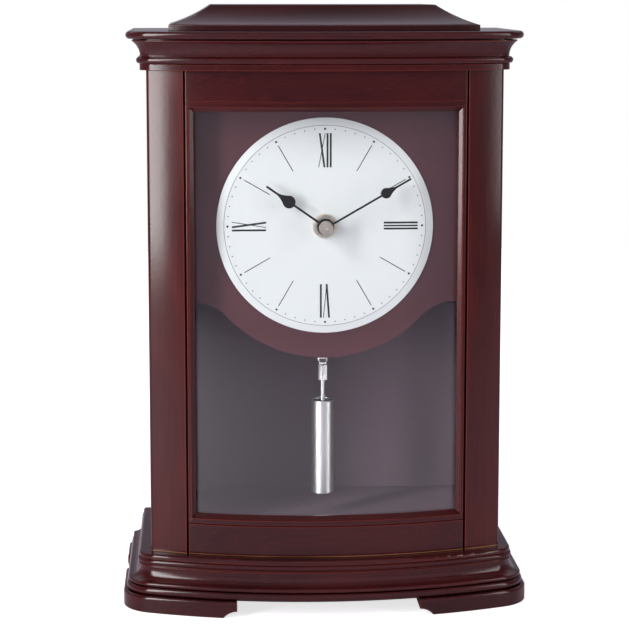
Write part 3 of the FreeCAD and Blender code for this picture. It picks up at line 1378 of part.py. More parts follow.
def slider(x):
    """A slide button: cap outside the wall, stem in the slot, flange inside."""
    wall_back = MOVEMENT_BACK_Y
    wall_front = MOVEMENT_BACK_Y - MOVEMENT_WALL
    half = SLIDER_CAP_WIDTH / 2
    tall = SLIDER_CAP_HEIGHT / 2
    stem = SLIDER_STEM / 2
    cap_y = wall_back + SLIDER_GAP
    low = SLIDER_Z - tall
    high = SLIDER_Z + tall
    cap = box(x - half, x + half, cap_y, cap_y + SLIDER_CAP_DEPTH, low, high)
    neck = box(x - stem, x + stem, wall_front - SLIDER_GAP, cap_y, SLIDER_Z - stem, SLIDER_Z + stem)
    flange_y = wall_front - SLIDER_GAP
    flange = box(x - half, x + half, flange_y - SLIDER_FLANGE_DEPTH, flange_y, low, high)
    return cap.fuse([neck, flange]).removeSplitter()


# Pendulum

def pendulum_hanger():
    """Plastic lever on its own trunnions, with a tongue that the hook hangs on."""
    half = HANGER_THICKNESS / 2
    y0 = PENDULUM_Y - half
    y1 = PENDULUM_Y + half
    lug_y0, lug_y1 = lug_range()
    pin = rod_y(0, PIVOT_Z, PIVOT_RADIUS, lug_y0 + TRUNNION_END_PLAY, lug_y1 - TRUNNION_END_PLAY)
    eye = rod_y(0, PIVOT_Z, HANGER_EYE_RADIUS, y0, y1)
    arm_low = HOOK_TOP_Z + TONGUE_CLEARANCE
    arm = box(-HANGER_WIDTH / 2, HANGER_WIDTH / 2, y0, y1, arm_low, PIVOT_Z)
    thin = TONGUE_THICKNESS / 2
    low = HOOK_PIN_Z - HOOK_NECK_HEIGHT / 2
    tongue = box(-TONGUE_WIDTH / 2, TONGUE_WIDTH / 2, PENDULUM_Y - thin, PENDULUM_Y + thin, low, arm_low)
    lever = eye.fuse([pin, arm, tongue]).removeSplitter()
    return lever.cut(rod_y(0, HOOK_PIN_Z, HOOK_PIN_RADIUS + PRESS_CLEARANCE, y0 - OVERRUN, y1 + OVERRUN))


def pendulum_hook():
    """Flared head with a slot and cross pin for the tongue."""
    head = rod_z(0, PENDULUM_Y, HOOK_HEAD_WIDTH / 2, HOOK_PIN_Z, HOOK_TOP_Z)
    neck = rod_z(0, PENDULUM_Y, HOOK_NECK_WIDTH / 2, ADAPTER_TOP_Z, HOOK_PIN_Z)
    thin = TONGUE_THICKNESS / 2 + TONGUE_CLEARANCE
    low = HOOK_PIN_Z - HOOK_NECK_HEIGHT / 2 - TONGUE_CLEARANCE
    wide = HOOK_HEAD_WIDTH
    slot = box(-wide, wide, PENDULUM_Y - thin, PENDULUM_Y + thin, low, HOOK_TOP_Z + OVERRUN)
    reach = HOOK_NECK_WIDTH / 2
    pin = rod_y(0, HOOK_PIN_Z, HOOK_PIN_RADIUS, PENDULUM_Y - reach, PENDULUM_Y + reach)
    return head.fuse(neck).removeSplitter().cut(slot).fuse(pin).removeSplitter()


def pendulum_adapter():
    """Turned sleeve between the hook and the rod."""
    top = ADAPTER_TOP_Z
    low = ADAPTER_LOW_Z
    body = rod_z(0, PENDULUM_Y, ADAPTER_RADIUS, low + ADAPTER_CHAMFER, top - ADAPTER_GROOVE)
    waist = rod_z(0, PENDULUM_Y, ADAPTER_RADIUS - ADAPTER_GROOVE, top - ADAPTER_GROOVE, top)
    taper = Part.makeCone(ADAPTER_RADIUS - ADAPTER_CHAMFER, ADAPTER_RADIUS, ADAPTER_CHAMFER,
                          Vector(0, PENDULUM_Y, low))
    seat = rod_z(0, PENDULUM_Y, ROD_RADIUS + PRESS_CLEARANCE, low - OVERRUN, low + ROD_SEAT)
    return body.fuse([waist, taper]).removeSplitter().cut(seat)


def pendulum_rod():
    """Rod from the adapter into the bob, with a small collar above it."""
    top = ADAPTER_LOW_Z + ROD_SEAT
    low = BOB_LOW_Z + BOB_CAP_THICKNESS + BOB_CAP_RECESS
    collar_z = BOB_TOP_Z + COLLAR_GAP
    shaft = rod_z(0, PENDULUM_Y, ROD_RADIUS, low, top)
    collar = rod_z(0, PENDULUM_Y, COLLAR_RADIUS, collar_z, collar_z + COLLAR_LENGTH)
    return shaft.fuse(collar).removeSplitter()


def bob_tube():
    """Bright tube of the bob, with eased ends."""
    low = BOB_LOW_Z
    ease = BOB_END_ROUND
    middle = rod_z(0, PENDULUM_Y, BOB_RADIUS, low + ease, BOB_TOP_Z - ease)
    lower = Part.makeCone(BOB_RADIUS - ease, BOB_RADIUS, ease, Vector(0, PENDULUM_Y, low))
    upper = Part.makeCone(BOB_RADIUS, BOB_RADIUS - ease, ease, Vector(0, PENDULUM_Y, BOB_TOP_Z - ease))
    bore = rod_z(0, PENDULUM_Y, BOB_RADIUS - BOB_WALL, low - OVERRUN, BOB_TOP_Z + OVERRUN)
    return middle.fuse([lower, upper]).removeSplitter().cut(bore)


def bob_caps():
    """Dark plugs in both ends of the tube."""
    low = BOB_LOW_Z
    radius = BOB_RADIUS - BOB_WALL - PRESS_CLEARANCE
    upper_top = BOB_TOP_Z - BOB_CAP_RECESS
    upper = rod_z(0, PENDULUM_Y, radius, upper_top - BOB_CAP_THICKNESS, upper_top)
    upper = upper.cut(rod_z(0, PENDULUM_Y, ROD_RADIUS + PRESS_CLEARANCE, low, BOB_TOP_Z))
    lower = rod_z(0, PENDULUM_Y, radius, low + BOB_CAP_RECESS, low + BOB_CAP_RECESS + BOB_CAP_THICKNESS)
    return group([upper, lower])


# Speaker

def speaker_levels():
    """Magnet, basket and flange, from the dial board back towards the door."""
    y1 = DIAL_BOARD_BACK_Y + SPEAKER_MAGNET_DEPTH
    y2 = y1 + SPEAKER_BASKET_DEPTH
    return y1, y2, y2 + SPEAKER_FLANGE


def speaker_basket():
    """Pressed cup on its magnet, open towards the back door."""
    y1, y2, y3 = speaker_levels()
    rim = SPEAKER_RADIUS - 2 * SPEAKER_FLANGE
    neck = SPEAKER_MAGNET_RADIUS
    magnet = rod_y(SPEAKER_X, SPEAKER_Z, neck, DIAL_BOARD_BACK_Y, y1)
    flange = rod_y(SPEAKER_X, SPEAKER_Z, SPEAKER_RADIUS, y2, y3)
    cup = cone_y(SPEAKER_X, SPEAKER_Z, neck, rim, y1, y2)
    inner = cone_y(SPEAKER_X, SPEAKER_Z, neck - SPEAKER_WALL, rim - SPEAKER_WALL, y1 + SPEAKER_WALL, y2)
    mouth = rod_y(SPEAKER_X, SPEAKER_Z, rim - SPEAKER_WALL, y2, y3 + OVERRUN)
    return magnet.fuse([flange, cup]).removeSplitter().cut(inner).cut(mouth)


def speaker_cone():
    """Paper cone in the basket's mouth."""
    y1, y2, y3 = speaker_levels()
    rim = SPEAKER_RADIUS - 2 * SPEAKER_FLANGE - SPEAKER_WALL - PRESS_CLEARANCE
    lip = rod_y(SPEAKER_X, SPEAKER_Z, rim, y3 - SPEAKER_CONE_WALL, y3)
    wide = rim - SPEAKER_CONE_LIP
    throat_y = y3 - SPEAKER_CONE_DEPTH
    inner_y = throat_y + SPEAKER_CONE_WALL
    outer = cone_y(SPEAKER_X, SPEAKER_Z, SPEAKER_CONE_THROAT, wide, throat_y, y3)
    inner = cone_y(SPEAKER_X, SPEAKER_Z, SPEAKER_CONE_THROAT, wide, inner_y, y3 + SPEAKER_CONE_WALL)
    return lip.fuse(outer).removeSplitter().cut(inner)


# Back door

def back_door():
    """Thin panel with a row of sound slots."""
    panel = box(-DOOR_HALF_WIDTH, DOOR_HALF_WIDTH, DOOR_INNER_Y, DOOR_OUTER_Y, DOOR_BOTTOM_Z, DOOR_TOP_Z)
    first = -(DOOR_SLOT_COUNT - 1) * DOOR_SLOT_PITCH / 2
    half = DOOR_SLOT_WIDTH / 2
    tall = DOOR_SLOT_HEIGHT / 2
    for index in range(DOOR_SLOT_COUNT):
        x = first + index * DOOR_SLOT_PITCH
        slot = box(x - half, x + half, DOOR_INNER_Y - OVERRUN, DOOR_OUTER_Y + OVERRUN,
                   SPEAKER_Z - tall, SPEAKER_Z + tall)
        ends = [rod_y(x, SPEAKER_Z + sign * tall, half, DOOR_INNER_Y - OVERRUN, DOOR_OUTER_Y + OVERRUN)
                for sign in (-1, 1)]
        panel = panel.cut(slot.fuse(ends))
    return panel


def hinge_levels():
    """Bottom of each hinge."""
    return [DOOR_BOTTOM_Z + HINGE_END_SPACE, DOOR_TOP_Z - HINGE_END_SPACE - HINGE_HEIGHT]


def barrel_pieces(z):
    """Three knuckle ranges: the outer two are the case leaf's."""
    third = HINGE_HEIGHT / 3
    low = (z, z + third - HINGE_GAP)
    middle = (z + third, z + 2 * third - HINGE_GAP)
    high = (z + 2 * third, z + HINGE_HEIGHT)
    return low, middle, high


def hinge_case_leaves():
    """Leaves on the side panel, with the outer knuckles and the fixed pins."""
    shapes = []
    for z in hinge_levels():
        x0 = -SIDE_INNER_X
        x1 = x0 + HINGE_LEAF_THICKNESS
        low, middle, high = barrel_pieces(z)
        leaf = box(x0, x1, DOOR_INNER_Y, HINGE_Y, z, z + HINGE_HEIGHT)
        notch_y = HINGE_Y - HINGE_BARREL_RADIUS - HINGE_GAP
        leaf = leaf.cut(box(x0, x1, notch_y, HINGE_Y, low[1], high[0]))
        for z0, z1 in (low, high):
            knuckle = rod_z(HINGE_X, HINGE_Y, HINGE_BARREL_RADIUS, z0, z1)
            web = box(x0, HINGE_X, HINGE_Y - HINGE_LEAF_THICKNESS, HINGE_Y, z0, z1)
            leaf = leaf.fuse([knuckle, web])
        pin = rod_z(HINGE_X, HINGE_Y, HINGE_PIN_RADIUS, z, z + HINGE_HEIGHT)
        shapes.append(leaf.fuse(pin).removeSplitter())
    return group(shapes)


def hinge_door_leaves():
    """Leaves on the door, with the middle knuckle."""
    shapes = []
    bore = HINGE_PIN_RADIUS + RUNNING_CLEARANCE
    for z in hinge_levels():
        x0 = HINGE_X + HINGE_BARREL_RADIUS + HINGE_GAP
        y1 = DOOR_OUTER_Y + HINGE_LEAF_THICKNESS
        leaf = box(x0, x0 + HINGE_LEAF_WIDTH, DOOR_OUTER_Y, y1, z, z + HINGE_HEIGHT)
        z0, z1 = barrel_pieces(z)[1]
        knuckle = rod_z(HINGE_X, HINGE_Y, HINGE_BARREL_RADIUS, z0, z1)
        web = box(HINGE_X, x0, HINGE_Y - HINGE_BARREL_RADIUS, y1, z0, z1)
        leaf = leaf.fuse([knuckle, web]).removeSplitter()
        shapes.append(leaf.cut(rod_z(HINGE_X, HINGE_Y, bore, z - OVERRUN, z + HINGE_HEIGHT + OVERRUN)))
    return group(shapes)


def door_knob_place():
    return DOOR_HALF_WIDTH - DOOR_KNOB_FROM_EDGE, (DOOR_BOTTOM_Z + DOOR_TOP_Z) / 2


def back_door_knob():
    """Low turned knob that stays inside the depth of the recess."""
    x, z = door_knob_place()
    y1 = DOOR_OUTER_Y + DOOR_KNOB_STEM_LENGTH
    stem = rod_y(x, z, DOOR_KNOB_STEM_RADIUS, DOOR_OUTER_Y, y1)
    head = rod_y(x, z, DOOR_KNOB_RADIUS, y1, y1 + DOOR_KNOB_HEIGHT)
    return stem.fuse(head).removeSplitter()


def door_stops():
    """Strips inside the case that the door closes against."""
    z0 = FLOOR_TOP_Z + STOP_END_SPACE
    z1 = CORNICE_Z - STOP_END_SPACE
    y1 = DOOR_INNER_Y - STOP_GAP
    right = box(SIDE_INNER_X - STOP_WIDTH, SIDE_INNER_X, y1 - STOP_DEPTH, y1, z0, z1)
    return group([right, mirror_x(right)])


def door_magnet():
    """Magnetic catch on the right-hand stop."""
    z = door_knob_place()[1]
    half = MAGNET_HEIGHT / 2
    x1 = SIDE_INNER_X - STOP_WIDTH
    y1 = DOOR_INNER_Y - STRIKE_THICKNESS - STRIKE_GAP
    return box(x1 - MAGNET_WIDTH, x1, y1 - MAGNET_DEPTH, y1, z - half, z + half)


def door_strike():
    """Steel plate on the door that the magnet holds."""
    z = door_knob_place()[1]
    half = STRIKE_HEIGHT / 2
    middle = SIDE_INNER_X - STOP_WIDTH - MAGNET_WIDTH / 2
    wide = STRIKE_WIDTH / 2
    y0 = DOOR_INNER_Y - STRIKE_THICKNESS
    return box(middle - wide, middle + wide, y0, DOOR_INNER_Y, z - half, z + half)


def build_parts():
    """Every piece of the clock by name."""
    right_foot = front_foot()
    right_rear_foot = rear_foot()
    right_post = front_post()
    right_panel = side_panel()
    right_bead = upright_bead()
    return {
        "roof_cap": roof_cap(),
        "cornice_top_board": cornice_top_board(),
        "cornice_moulding": cornice_moulding(),
        "left_side_panel": mirror_x(right_panel),
        "right_side_panel": right_panel,
        "left_front_post": mirror_x(right_post),
        "right_front_post": right_post,
        "top_rail": rail(OPENING_TOP_Z, CORNICE_Z),
        "bottom_rail": rail(BODY_Z, OPENING_BOTTOM_Z),
        "glazing_bead_top": cross_bead(OPENING_TOP_Z, -1),
        "glazing_bead_bottom": cross_bead(OPENING_BOTTOM_Z, 1),
        "glazing_bead_left": mirror_x(right_bead),
        "glazing_bead_right": right_bead,
        "front_glass": front_glass(),
        "glass_strips": glass_strips(),
        "floor_board": floor_board(),
        "base_ledge_board": base_ledge_board(),
        "base_cove_moulding": base_cove_moulding(),
        "plinth_board": plinth_board(),
        "front_left_foot": mirror_x(right_foot),
        "front_right_foot": right_foot,
        "rear_left_foot": mirror_x(right_rear_foot),
        "rear_right_foot": right_rear_foot,
        "foot_pads": foot_pads(),
        "dial_board": dial_board(),
        "board_screws": board_screws(),
        "dial_plate": dial_plate(),
        "dial_washer": dial_washer(),
        "dial_nut": dial_nut(),
        "hand_bushing": hand_bushing(),
        "hour_hand": hour_hand(),
        "minute_hand": minute_hand(),
        "centre_cap": centre_cap(),
        "hour_wheel": hour_wheel(),
        "minute_wheel": minute_wheel(),
        "minute_arbor": minute_arbor(),
        "time_setting_knob": time_setting_knob(),
        "movement_front_case": movement_front_case(),
        "movement_rear_case": movement_rear_case(),
        "circuit_board": circuit_board(),
        "drive_coil": drive_coil(),
        "batteries": batteries(),
        "battery_contacts": battery_contacts(),
        "chime_selector": slider(SELECTOR_X),
        "volume_slider": slider(VOLUME_X),
        "pendulum_hanger": pendulum_hanger(),
        "pendulum_hook": pendulum_hook(),
        "pendulum_adapter": pendulum_adapter(),
        "pendulum_rod": pendulum_rod(),
        "bob_tube": bob_tube(),
        "bob_caps": bob_caps(),
        "speaker_basket": speaker_basket(),
        "speaker_cone": speaker_cone(),
        "back_door": back_door(),
        "hinge_case_leaves": hinge_case_leaves(),
        "hinge_door_leaves": hinge_door_leaves(),
        "back_door_knob": back_door_knob(),
        "door_stops": door_stops(),
        "door_magnet": door_magnet(),
        "door_strike": door_strike(),
    }


os.makedirs("parts", exist_ok=True)
for name, shape in build_parts().items():
    if not shape.isValid():
        raise ValueError(name + " is not a valid shape")
    shape.exportStep("parts/" + name + ".step")
    bounds = shape.BoundBox
    print(name, len(shape.Solids), round(shape.Volume, 1), "mm3",
          round(bounds.YMin, 2), round(bounds.YMax, 2), round(bounds.ZMin, 2), round(bounds.ZMax, 2))
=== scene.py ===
import math

import bpy
from mathutils import Matrix, Vector


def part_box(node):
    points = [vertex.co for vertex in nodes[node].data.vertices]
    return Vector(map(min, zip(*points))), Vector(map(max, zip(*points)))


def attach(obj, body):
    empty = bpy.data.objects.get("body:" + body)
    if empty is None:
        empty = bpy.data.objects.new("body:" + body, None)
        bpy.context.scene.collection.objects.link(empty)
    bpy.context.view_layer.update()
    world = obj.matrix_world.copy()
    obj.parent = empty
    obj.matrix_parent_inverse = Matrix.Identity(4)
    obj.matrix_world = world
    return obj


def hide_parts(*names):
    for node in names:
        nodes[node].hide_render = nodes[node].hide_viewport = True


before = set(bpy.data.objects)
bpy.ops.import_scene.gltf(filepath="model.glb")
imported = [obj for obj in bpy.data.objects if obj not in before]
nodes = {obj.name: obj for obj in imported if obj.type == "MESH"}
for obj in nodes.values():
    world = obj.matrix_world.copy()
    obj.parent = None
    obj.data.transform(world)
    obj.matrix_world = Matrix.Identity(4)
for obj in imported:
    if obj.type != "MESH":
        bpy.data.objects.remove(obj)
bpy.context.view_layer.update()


# Base: two bracket feet that turn the front corners and two behind, a plinth board, a hollow
# moulding and a ledge board, all of solid cherry. They are glued up, stained nearly black and
# sprayed with satin lacquer before the case is screwed on.

def srgb(text):
    """Linear colour from an sRGB hex value."""
    channels = [int(text[i:i + 2], 16) / 255 for i in (1, 3, 5)]
    return [c / 12.92 if c <= 0.04045 else ((c + 0.055) / 1.055) ** 2.4 for c in channels] + [1.0]


def add_node(tree, kind, inputs=(), **settings):
    """Adds a node with its settings; an input takes a value or the socket that feeds it."""
    node = tree.nodes.new("ShaderNode" + kind)
    for key, value in settings.items():
        setattr(node, key, value)
    for key, value in dict(inputs).items():
        if isinstance(value, bpy.types.NodeSocket):
            tree.links.new(value, node.inputs[key])
        else:
            node.inputs[key].default_value = value
    return node


def new_finish(name, colour, sockets):
    """A material with its constants on the shader's own sockets."""
    material = bpy.data.materials.new(name)
    material.use_nodes = True
    shader = material.node_tree.nodes["Principled BSDF"]
    shader.inputs["Base Color"].default_value = srgb(colour)
    for key, value in sockets.items():
        shader.inputs[key].default_value = value
    return material, material.node_tree, shader


def per_mm(*sizes):
    """Pattern scale for features of these sizes in millimetres."""
    return [1000 / size for size in sizes]


def dress(material, *names):
    """Gives CAD nodes their finish."""
    for name in names:
        for place in nodes[name].material_slots:
            place.material = material


# figure, streaks of pores and orange peel in mm; cherry's pores are about 0.1 mm wide and would
# vanish, so the streaks are drawn far wider than they are
FIGURE_LENGTH, FIGURE_WIDTH = 120, 38
STREAK_LENGTH, STREAK_WIDTH = 45, 0.9
PEEL_WIDTH = 2.2
# in metres: how far an arris is rounded, and how far the stain is rubbed thin beside it
ARRIS_RADIUS = 0.0004
ARRIS_REACH = 0.0011
# how far the painted shade reaches into the quirks and joints
PAINTED_SHADE_REACH = 0.003
WORN_LOW, WORN_HIGH = 0.0005, 0.0007


def lacquered_cherry(name, run, dark, middle, light, turned=False, worn_at=None):
    """Stained and lacquered cherry with its grain along an axis.

    To the eye it is a deep red brown, nearly black, with faint streaks under a satin gloss. On a
    moulding that turns the corner, the grain turns with it.
    """
    material, tree, shader = new_finish(name, middle, {"IOR": 1.48, "Specular IOR Level": 0.3})
    place = add_node(tree, "TexCoord")

    def grain(axis):
        figure = [FIGURE_WIDTH] * 3
        figure[axis] = FIGURE_LENGTH
        streak = [STREAK_WIDTH] * 3
        streak[axis] = STREAK_LENGTH
        broad = add_node(tree, "Mapping", {"Vector": place.outputs["Object"],
                                           "Scale": per_mm(*figure)})
        cloud = add_node(tree, "TexNoise", {"Vector": broad.outputs[0], "Scale": 1.0, "Detail": 3.0,
                                            "Roughness": 0.55, "Distortion": 0.6})
        fine = add_node(tree, "Mapping", {"Vector": place.outputs["Object"],
                                          "Scale": per_mm(*streak)})
        line = add_node(tree, "TexNoise", {"Vector": fine.outputs[0], "Scale": 1.0, "Detail": 2.0})
        return cloud.outputs["Fac"], line.outputs["Fac"]

    cloud, line = grain(run)
    if turned:
        side_cloud, side_line = grain(1)
        facing = add_node(tree, "NewGeometry")
        parts = add_node(tree, "SeparateXYZ", {0: facing.outputs["Normal"]})
        across = add_node(tree, "Math", {0: parts.outputs["X"]}, operation="ABSOLUTE")
        turn = add_node(tree, "MapRange", {"Value": across.outputs[0], "From Min": 0.62,
                                           "From Max": 0.78})
        both = add_node(tree, "Mix", {"Factor": turn.outputs[0], "A": cloud, "B": side_cloud},
                        data_type="FLOAT")
        cloud = both.outputs["Result"]
        both = add_node(tree, "Mix", {"Factor": turn.outputs[0], "A": line, "B": side_line},
                        data_type="FLOAT")
        line = both.outputs["Result"]

    depth = add_node(tree, "MapRange", {"Value": cloud, "From Min": 0.34, "From Max": 0.68})
    stain = add_node(tree, "Mix", {"Factor": depth.outputs[0], 6: srgb(dark), 7: srgb(middle)},
                     data_type="RGBA")
    thread = add_node(tree, "MapRange", {"Value": line, "From Min": 0.5, "From Max": 0.8,
                                         "To Max": 0.13})
    grained = add_node(tree, "Mix", {"Factor": thread.outputs[0], 6: stain.outputs[2],
                                     7: srgb(light)}, data_type="RGBA")

    # the stain is rubbed thin and redder on every arris
    around = add_node(tree, "Bevel", {"Radius": ARRIS_REACH}, samples=4)
    here = add_node(tree, "NewGeometry")
    meet = add_node(tree, "VectorMath", {0: around.outputs[0], 1: here.outputs["Normal"]},
                    operation="DOT_PRODUCT")
    rubbed = add_node(tree, "MapRange", {"Value": meet.outputs["Value"], "From Min": 0.99,
                                         "From Max": 0.84, "To Max": 0.75})
    edged = add_node(tree, "Mix", {"Factor": rubbed.outputs[0], 6: grained.outputs[2],
                                   7: srgb(light)}, data_type="RGBA")
    # worn through to the bare wood in a thin line along its foot
    if worn_at:
        height = add_node(tree, "SeparateXYZ", {0: place.outputs["Object"]})
        strip = add_node(tree, "MapRange", {"Value": height.outputs["Z"],
                                            "From Min": worn_at + WORN_HIGH,
                                            "From Max": worn_at + WORN_LOW})
        patches = add_node(tree, "MapRange", {"Value": cloud, "From Min": 0.4, "From Max": 0.6,
                                              "To Min": 0.25, "To Max": 0.9})
        bare = add_node(tree, "Math", {0: strip.outputs[0], 1: patches.outputs[0]},
                        operation="MULTIPLY")
        edged = add_node(tree, "Mix", {"Factor": bare.outputs[0], 6: edged.outputs[2],
                                       7: srgb("#b07c52")}, data_type="RGBA")

    # and painted shade: the colour darkens to near black in the quirks and joints, where shade
    # falls
    corner = add_node(tree, "AmbientOcclusion", {"Distance": PAINTED_SHADE_REACH}, samples=4)
    painted_shade_mask = add_node(tree, "MapRange", {"Value": corner.outputs["AO"], "From Min": 0.2,
                                         "From Max": 0.75})
    colour_with_painted_shade = add_node(tree, "Mix", {"Factor": painted_shade_mask.outputs[0], 6: srgb("#120305"),
                                    7: edged.outputs[2]}, data_type="RGBA")
    tree.links.new(colour_with_painted_shade.outputs[2], shader.inputs["Base Color"])

    # satin sheen with a faint orange peel
    sheen = add_node(tree, "MapRange", {"Value": cloud, "From Min": 0.3, "From Max": 0.7,
                                        "To Min": 0.12, "To Max": 0.17})
    tree.links.new(sheen.outputs[0], shader.inputs["Roughness"])
    peel = add_node(tree, "Mapping", {"Vector": place.outputs["Object"],
                                      "Scale": per_mm(PEEL_WIDTH, PEEL_WIDTH, PEEL_WIDTH)})
    skin = add_node(tree, "TexNoise", {"Vector": peel.outputs[0], "Scale": 1.0, "Detail": 1.0})
    soft = add_node(tree, "Bevel", {"Radius": ARRIS_RADIUS}, samples=4)
    bump = add_node(tree, "Bump", {"Height": skin.outputs["Fac"], "Strength": 0.07,
                                   "Distance": 0.0002, "Normal": soft.outputs[0]})
    tree.links.new(bump.outputs[0], shader.inputs["Normal"])
    return material


def deselect():
    """Leaves edit mode and selects nothing."""
    if bpy.context.object and bpy.context.object.mode != "OBJECT":
        bpy.ops.object.mode_set(mode="OBJECT")
    bpy.ops.object.select_all(action="DESELECT")


WELD_GAP = 0.000002
FINE_ARRIS = 0.0001


def eased(name, material, radius=ARRIS_RADIUS, body="case", steps=2, sharp=32):
    """A piece with its sharp edges eased: a copy of the plain one, welded and bevelled."""
    deselect()
    piece = nodes[name].copy()
    piece.data = nodes[name].data.copy()
    piece.hide_render = piece.hide_viewport = False
    bpy.context.scene.collection.objects.link(piece)
    piece.name = piece.data.name = name + "_eased"
    piece.select_set(True)
    bpy.context.view_layer.objects.active = piece
    bpy.ops.mesh.customdata_custom_splitnormals_clear()
    bpy.ops.object.mode_set(mode="EDIT")
    bpy.ops.mesh.select_all(action="SELECT")
    bpy.ops.mesh.remove_doubles(threshold=WELD_GAP)
    bpy.ops.mesh.dissolve_limited(angle_limit=math.radians(0.05))
    bpy.ops.mesh.normals_make_consistent(inside=False)
    bpy.ops.object.mode_set(mode="OBJECT")
    bevel = piece.modifiers.new("arrises", "BEVEL")
    bevel.width, bevel.segments = radius, steps
    bevel.limit_method, bevel.angle_limit = "ANGLE", math.radians(sharp)
    bpy.ops.object.modifier_apply(modifier=bevel.name)
    bpy.ops.object.shade_smooth_by_angle(angle=math.radians(sharp))
    level = piece.modifiers.new("flat_faces", "WEIGHTED_NORMAL")
    level.keep_sharp = True
    bpy.ops.object.modifier_apply(modifier=level.name)
    piece.data.materials.clear()
    piece.data.materials.append(material)
    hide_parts(name)
    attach(piece, body)
    return piece


moulding_cherry = lacquered_cherry("moulding_cherry", 0, "#2a0b0d", "#3b1011", "#79291f",
                                   turned=True)
for name in ("front_left_foot", "front_right_foot", "rear_left_foot", "rear_right_foot",
             "plinth_board"):
    eased(name, moulding_cherry)
eased("base_cove_moulding", moulding_cherry, FINE_ARRIS, steps=1)
dress(moulding_cherry, "base_ledge_board")


# Pads: four discs of black wool felt, punched out and glued into the feet, so that the clock
# doesn't scratch what it stands on. Felt is dull, with short fibres that break up its edge.

# single fibres are too fine to show, so they are drawn as clumps of 0.6 mm
felt, felt_tree, felt_shader = new_finish("wool_felt", "#1d1c1e", {"Roughness": 0.95,
                                                                   "Sheen Weight": 0.3})
felt_place = add_node(felt_tree, "TexCoord")
felt_size = add_node(felt_tree, "Mapping", {"Vector": felt_place.outputs["Object"],
                                            "Scale": per_mm(0.6, 0.6, 0.6)})
fibre = add_node(felt_tree, "TexNoise", {"Vector": felt_size.outputs[0], "Scale": 1.0,
                                         "Detail": 4.0})
felt_bump = add_node(felt_tree, "Bump", {"Height": fibre.outputs["Fac"], "Strength": 0.6,
                                         "Distance": 0.0003})
felt_tree.links.new(felt_bump.outputs[0], felt_shader.inputs["Normal"])
dress(felt, "foot_pads")


# Case: bowed front posts and rails, flat sides and a floor, glued and dowelled. Posts and sides
# stand with their grain upright, and the rails lie between them behind a dark shadow line. Along
# the foot of the posts and of the lower rail the finish is worn through to the wood.

BODY_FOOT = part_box("left_front_post")[0].z
upright_cherry = lacquered_cherry("upright_cherry", 2, "#330c0d", "#481110", "#842c20",
                                  worn_at=BODY_FOOT)
rail_cherry = lacquered_cherry("rail_cherry", 0, "#2a0b0d", "#3b1011", "#79291f", worn_at=BODY_FOOT)
for name in ("left_front_post", "right_front_post", "left_side_panel", "right_side_panel"):
    eased(name, upright_cherry)
eased("top_rail", rail_cherry)
eased("bottom_rail", rail_cherry)

# a matt mauve-grey paint, brushed on inside; faces turned to the back keep the dark stain
lining, lining_tree, lining_shader = new_finish("lining_paint", "#2e2529", {"Roughness": 0.6})
lining_place = add_node(lining_tree, "TexCoord")
lining_size = add_node(lining_tree, "Mapping", {"Vector": lining_place.outputs["Object"],
                                                "Scale": per_mm(14, 14, 14)})
brushing = add_node(lining_tree, "TexNoise", {"Vector": lining_size.outputs[0], "Scale": 1.0,
                                              "Detail": 5.0})
lining_tone = add_node(lining_tree, "Mix", {"Factor": brushing.outputs["Fac"], 6: srgb("#65515d"),
                                            7: srgb("#725b68")}, data_type="RGBA")
lining_side = add_node(lining_tree, "SeparateXYZ", {0: lining_place.outputs["Normal"]})
lining_edge = add_node(lining_tree, "Math", {0: lining_side.outputs["Y"], 1: 0.5},
                       operation="GREATER_THAN")
lining_both = add_node(lining_tree, "Mix", {"Factor": lining_edge.outputs[0],
                                            6: lining_tone.outputs[2], 7: srgb("#2a1516")},
                       data_type="RGBA")
lining_tree.links.new(lining_both.outputs[2], lining_shader.inputs["Base Color"])
dress(lining, "floor_board", "glass_strips")


# Glazing: four beads, lacquered like the rails and mitred at the corners, round a pane of bent
# float glass. Strips pinned behind the pane hold it against the beads.

upright_bead_cherry = lacquered_cherry("upright_bead_cherry", 2, "#2f0c0d", "#411011", "#7e2a20")
BEAD_ARRIS = 0.0003
for name, finish in (("glazing_bead_left", upright_bead_cherry),
                     ("glazing_bead_right", upright_bead_cherry),
                     ("glazing_bead_top", rail_cherry), ("glazing_bead_bottom", rail_cherry)):
    eased(name, finish, BEAD_ARRIS)

# clear and flat-polished: the eye sees through it, with a thin veil of the studio mirrored in it
pane, pane_tree, pane_shader = new_finish("float_glass", "#fbfcfb", {
    "Roughness": 0.0, "IOR": 1.52, "Transmission Weight": 1.0})
pane_light = add_node(pane_tree, "LightPath")
pane_through = add_node(pane_tree, "Math", {0: pane_light.outputs["Is Shadow Ray"],
                                            1: pane_light.outputs["Is Diffuse Ray"]},
                        operation="MAXIMUM")
pane_clear = add_node(pane_tree, "BsdfTransparent", {"Color": srgb("#f9fbfa")})
pane_mix = add_node(pane_tree, "MixShader", {0: pane_through.outputs[0], 1: pane_shader.outputs[0],
                                             2: pane_clear.outputs[0]})
pane_tree.links.new(pane_mix.outputs[0], pane_tree.nodes["Material Output"].inputs["Surface"])
dress(pane, "front_glass")


# Cornice, top board and roof: lacquered cherry again. The cornice is mitred round the corners
# like the base, the thin board lies on it, and the roof is one hollow-sided block whose hips run
# back from the front corners. All are glued down, and the roof is the darkest.

roof_cherry = lacquered_cherry("roof_cherry", 0, "#280b0d", "#370f11", "#60221c")
eased("cornice_moulding", moulding_cherry, FINE_ARRIS, steps=1)
eased("cornice_top_board", moulding_cherry)
eased("roof_cap", roof_cherry)


# Dial board: a fibreboard faced with cherry veneer, its foot sawn to an ogee, behind the glass
# and screwed to the posts from behind. The veneer is sealed but not polished, so it is soft and
# plum-coloured, with a broad cloudy figure.

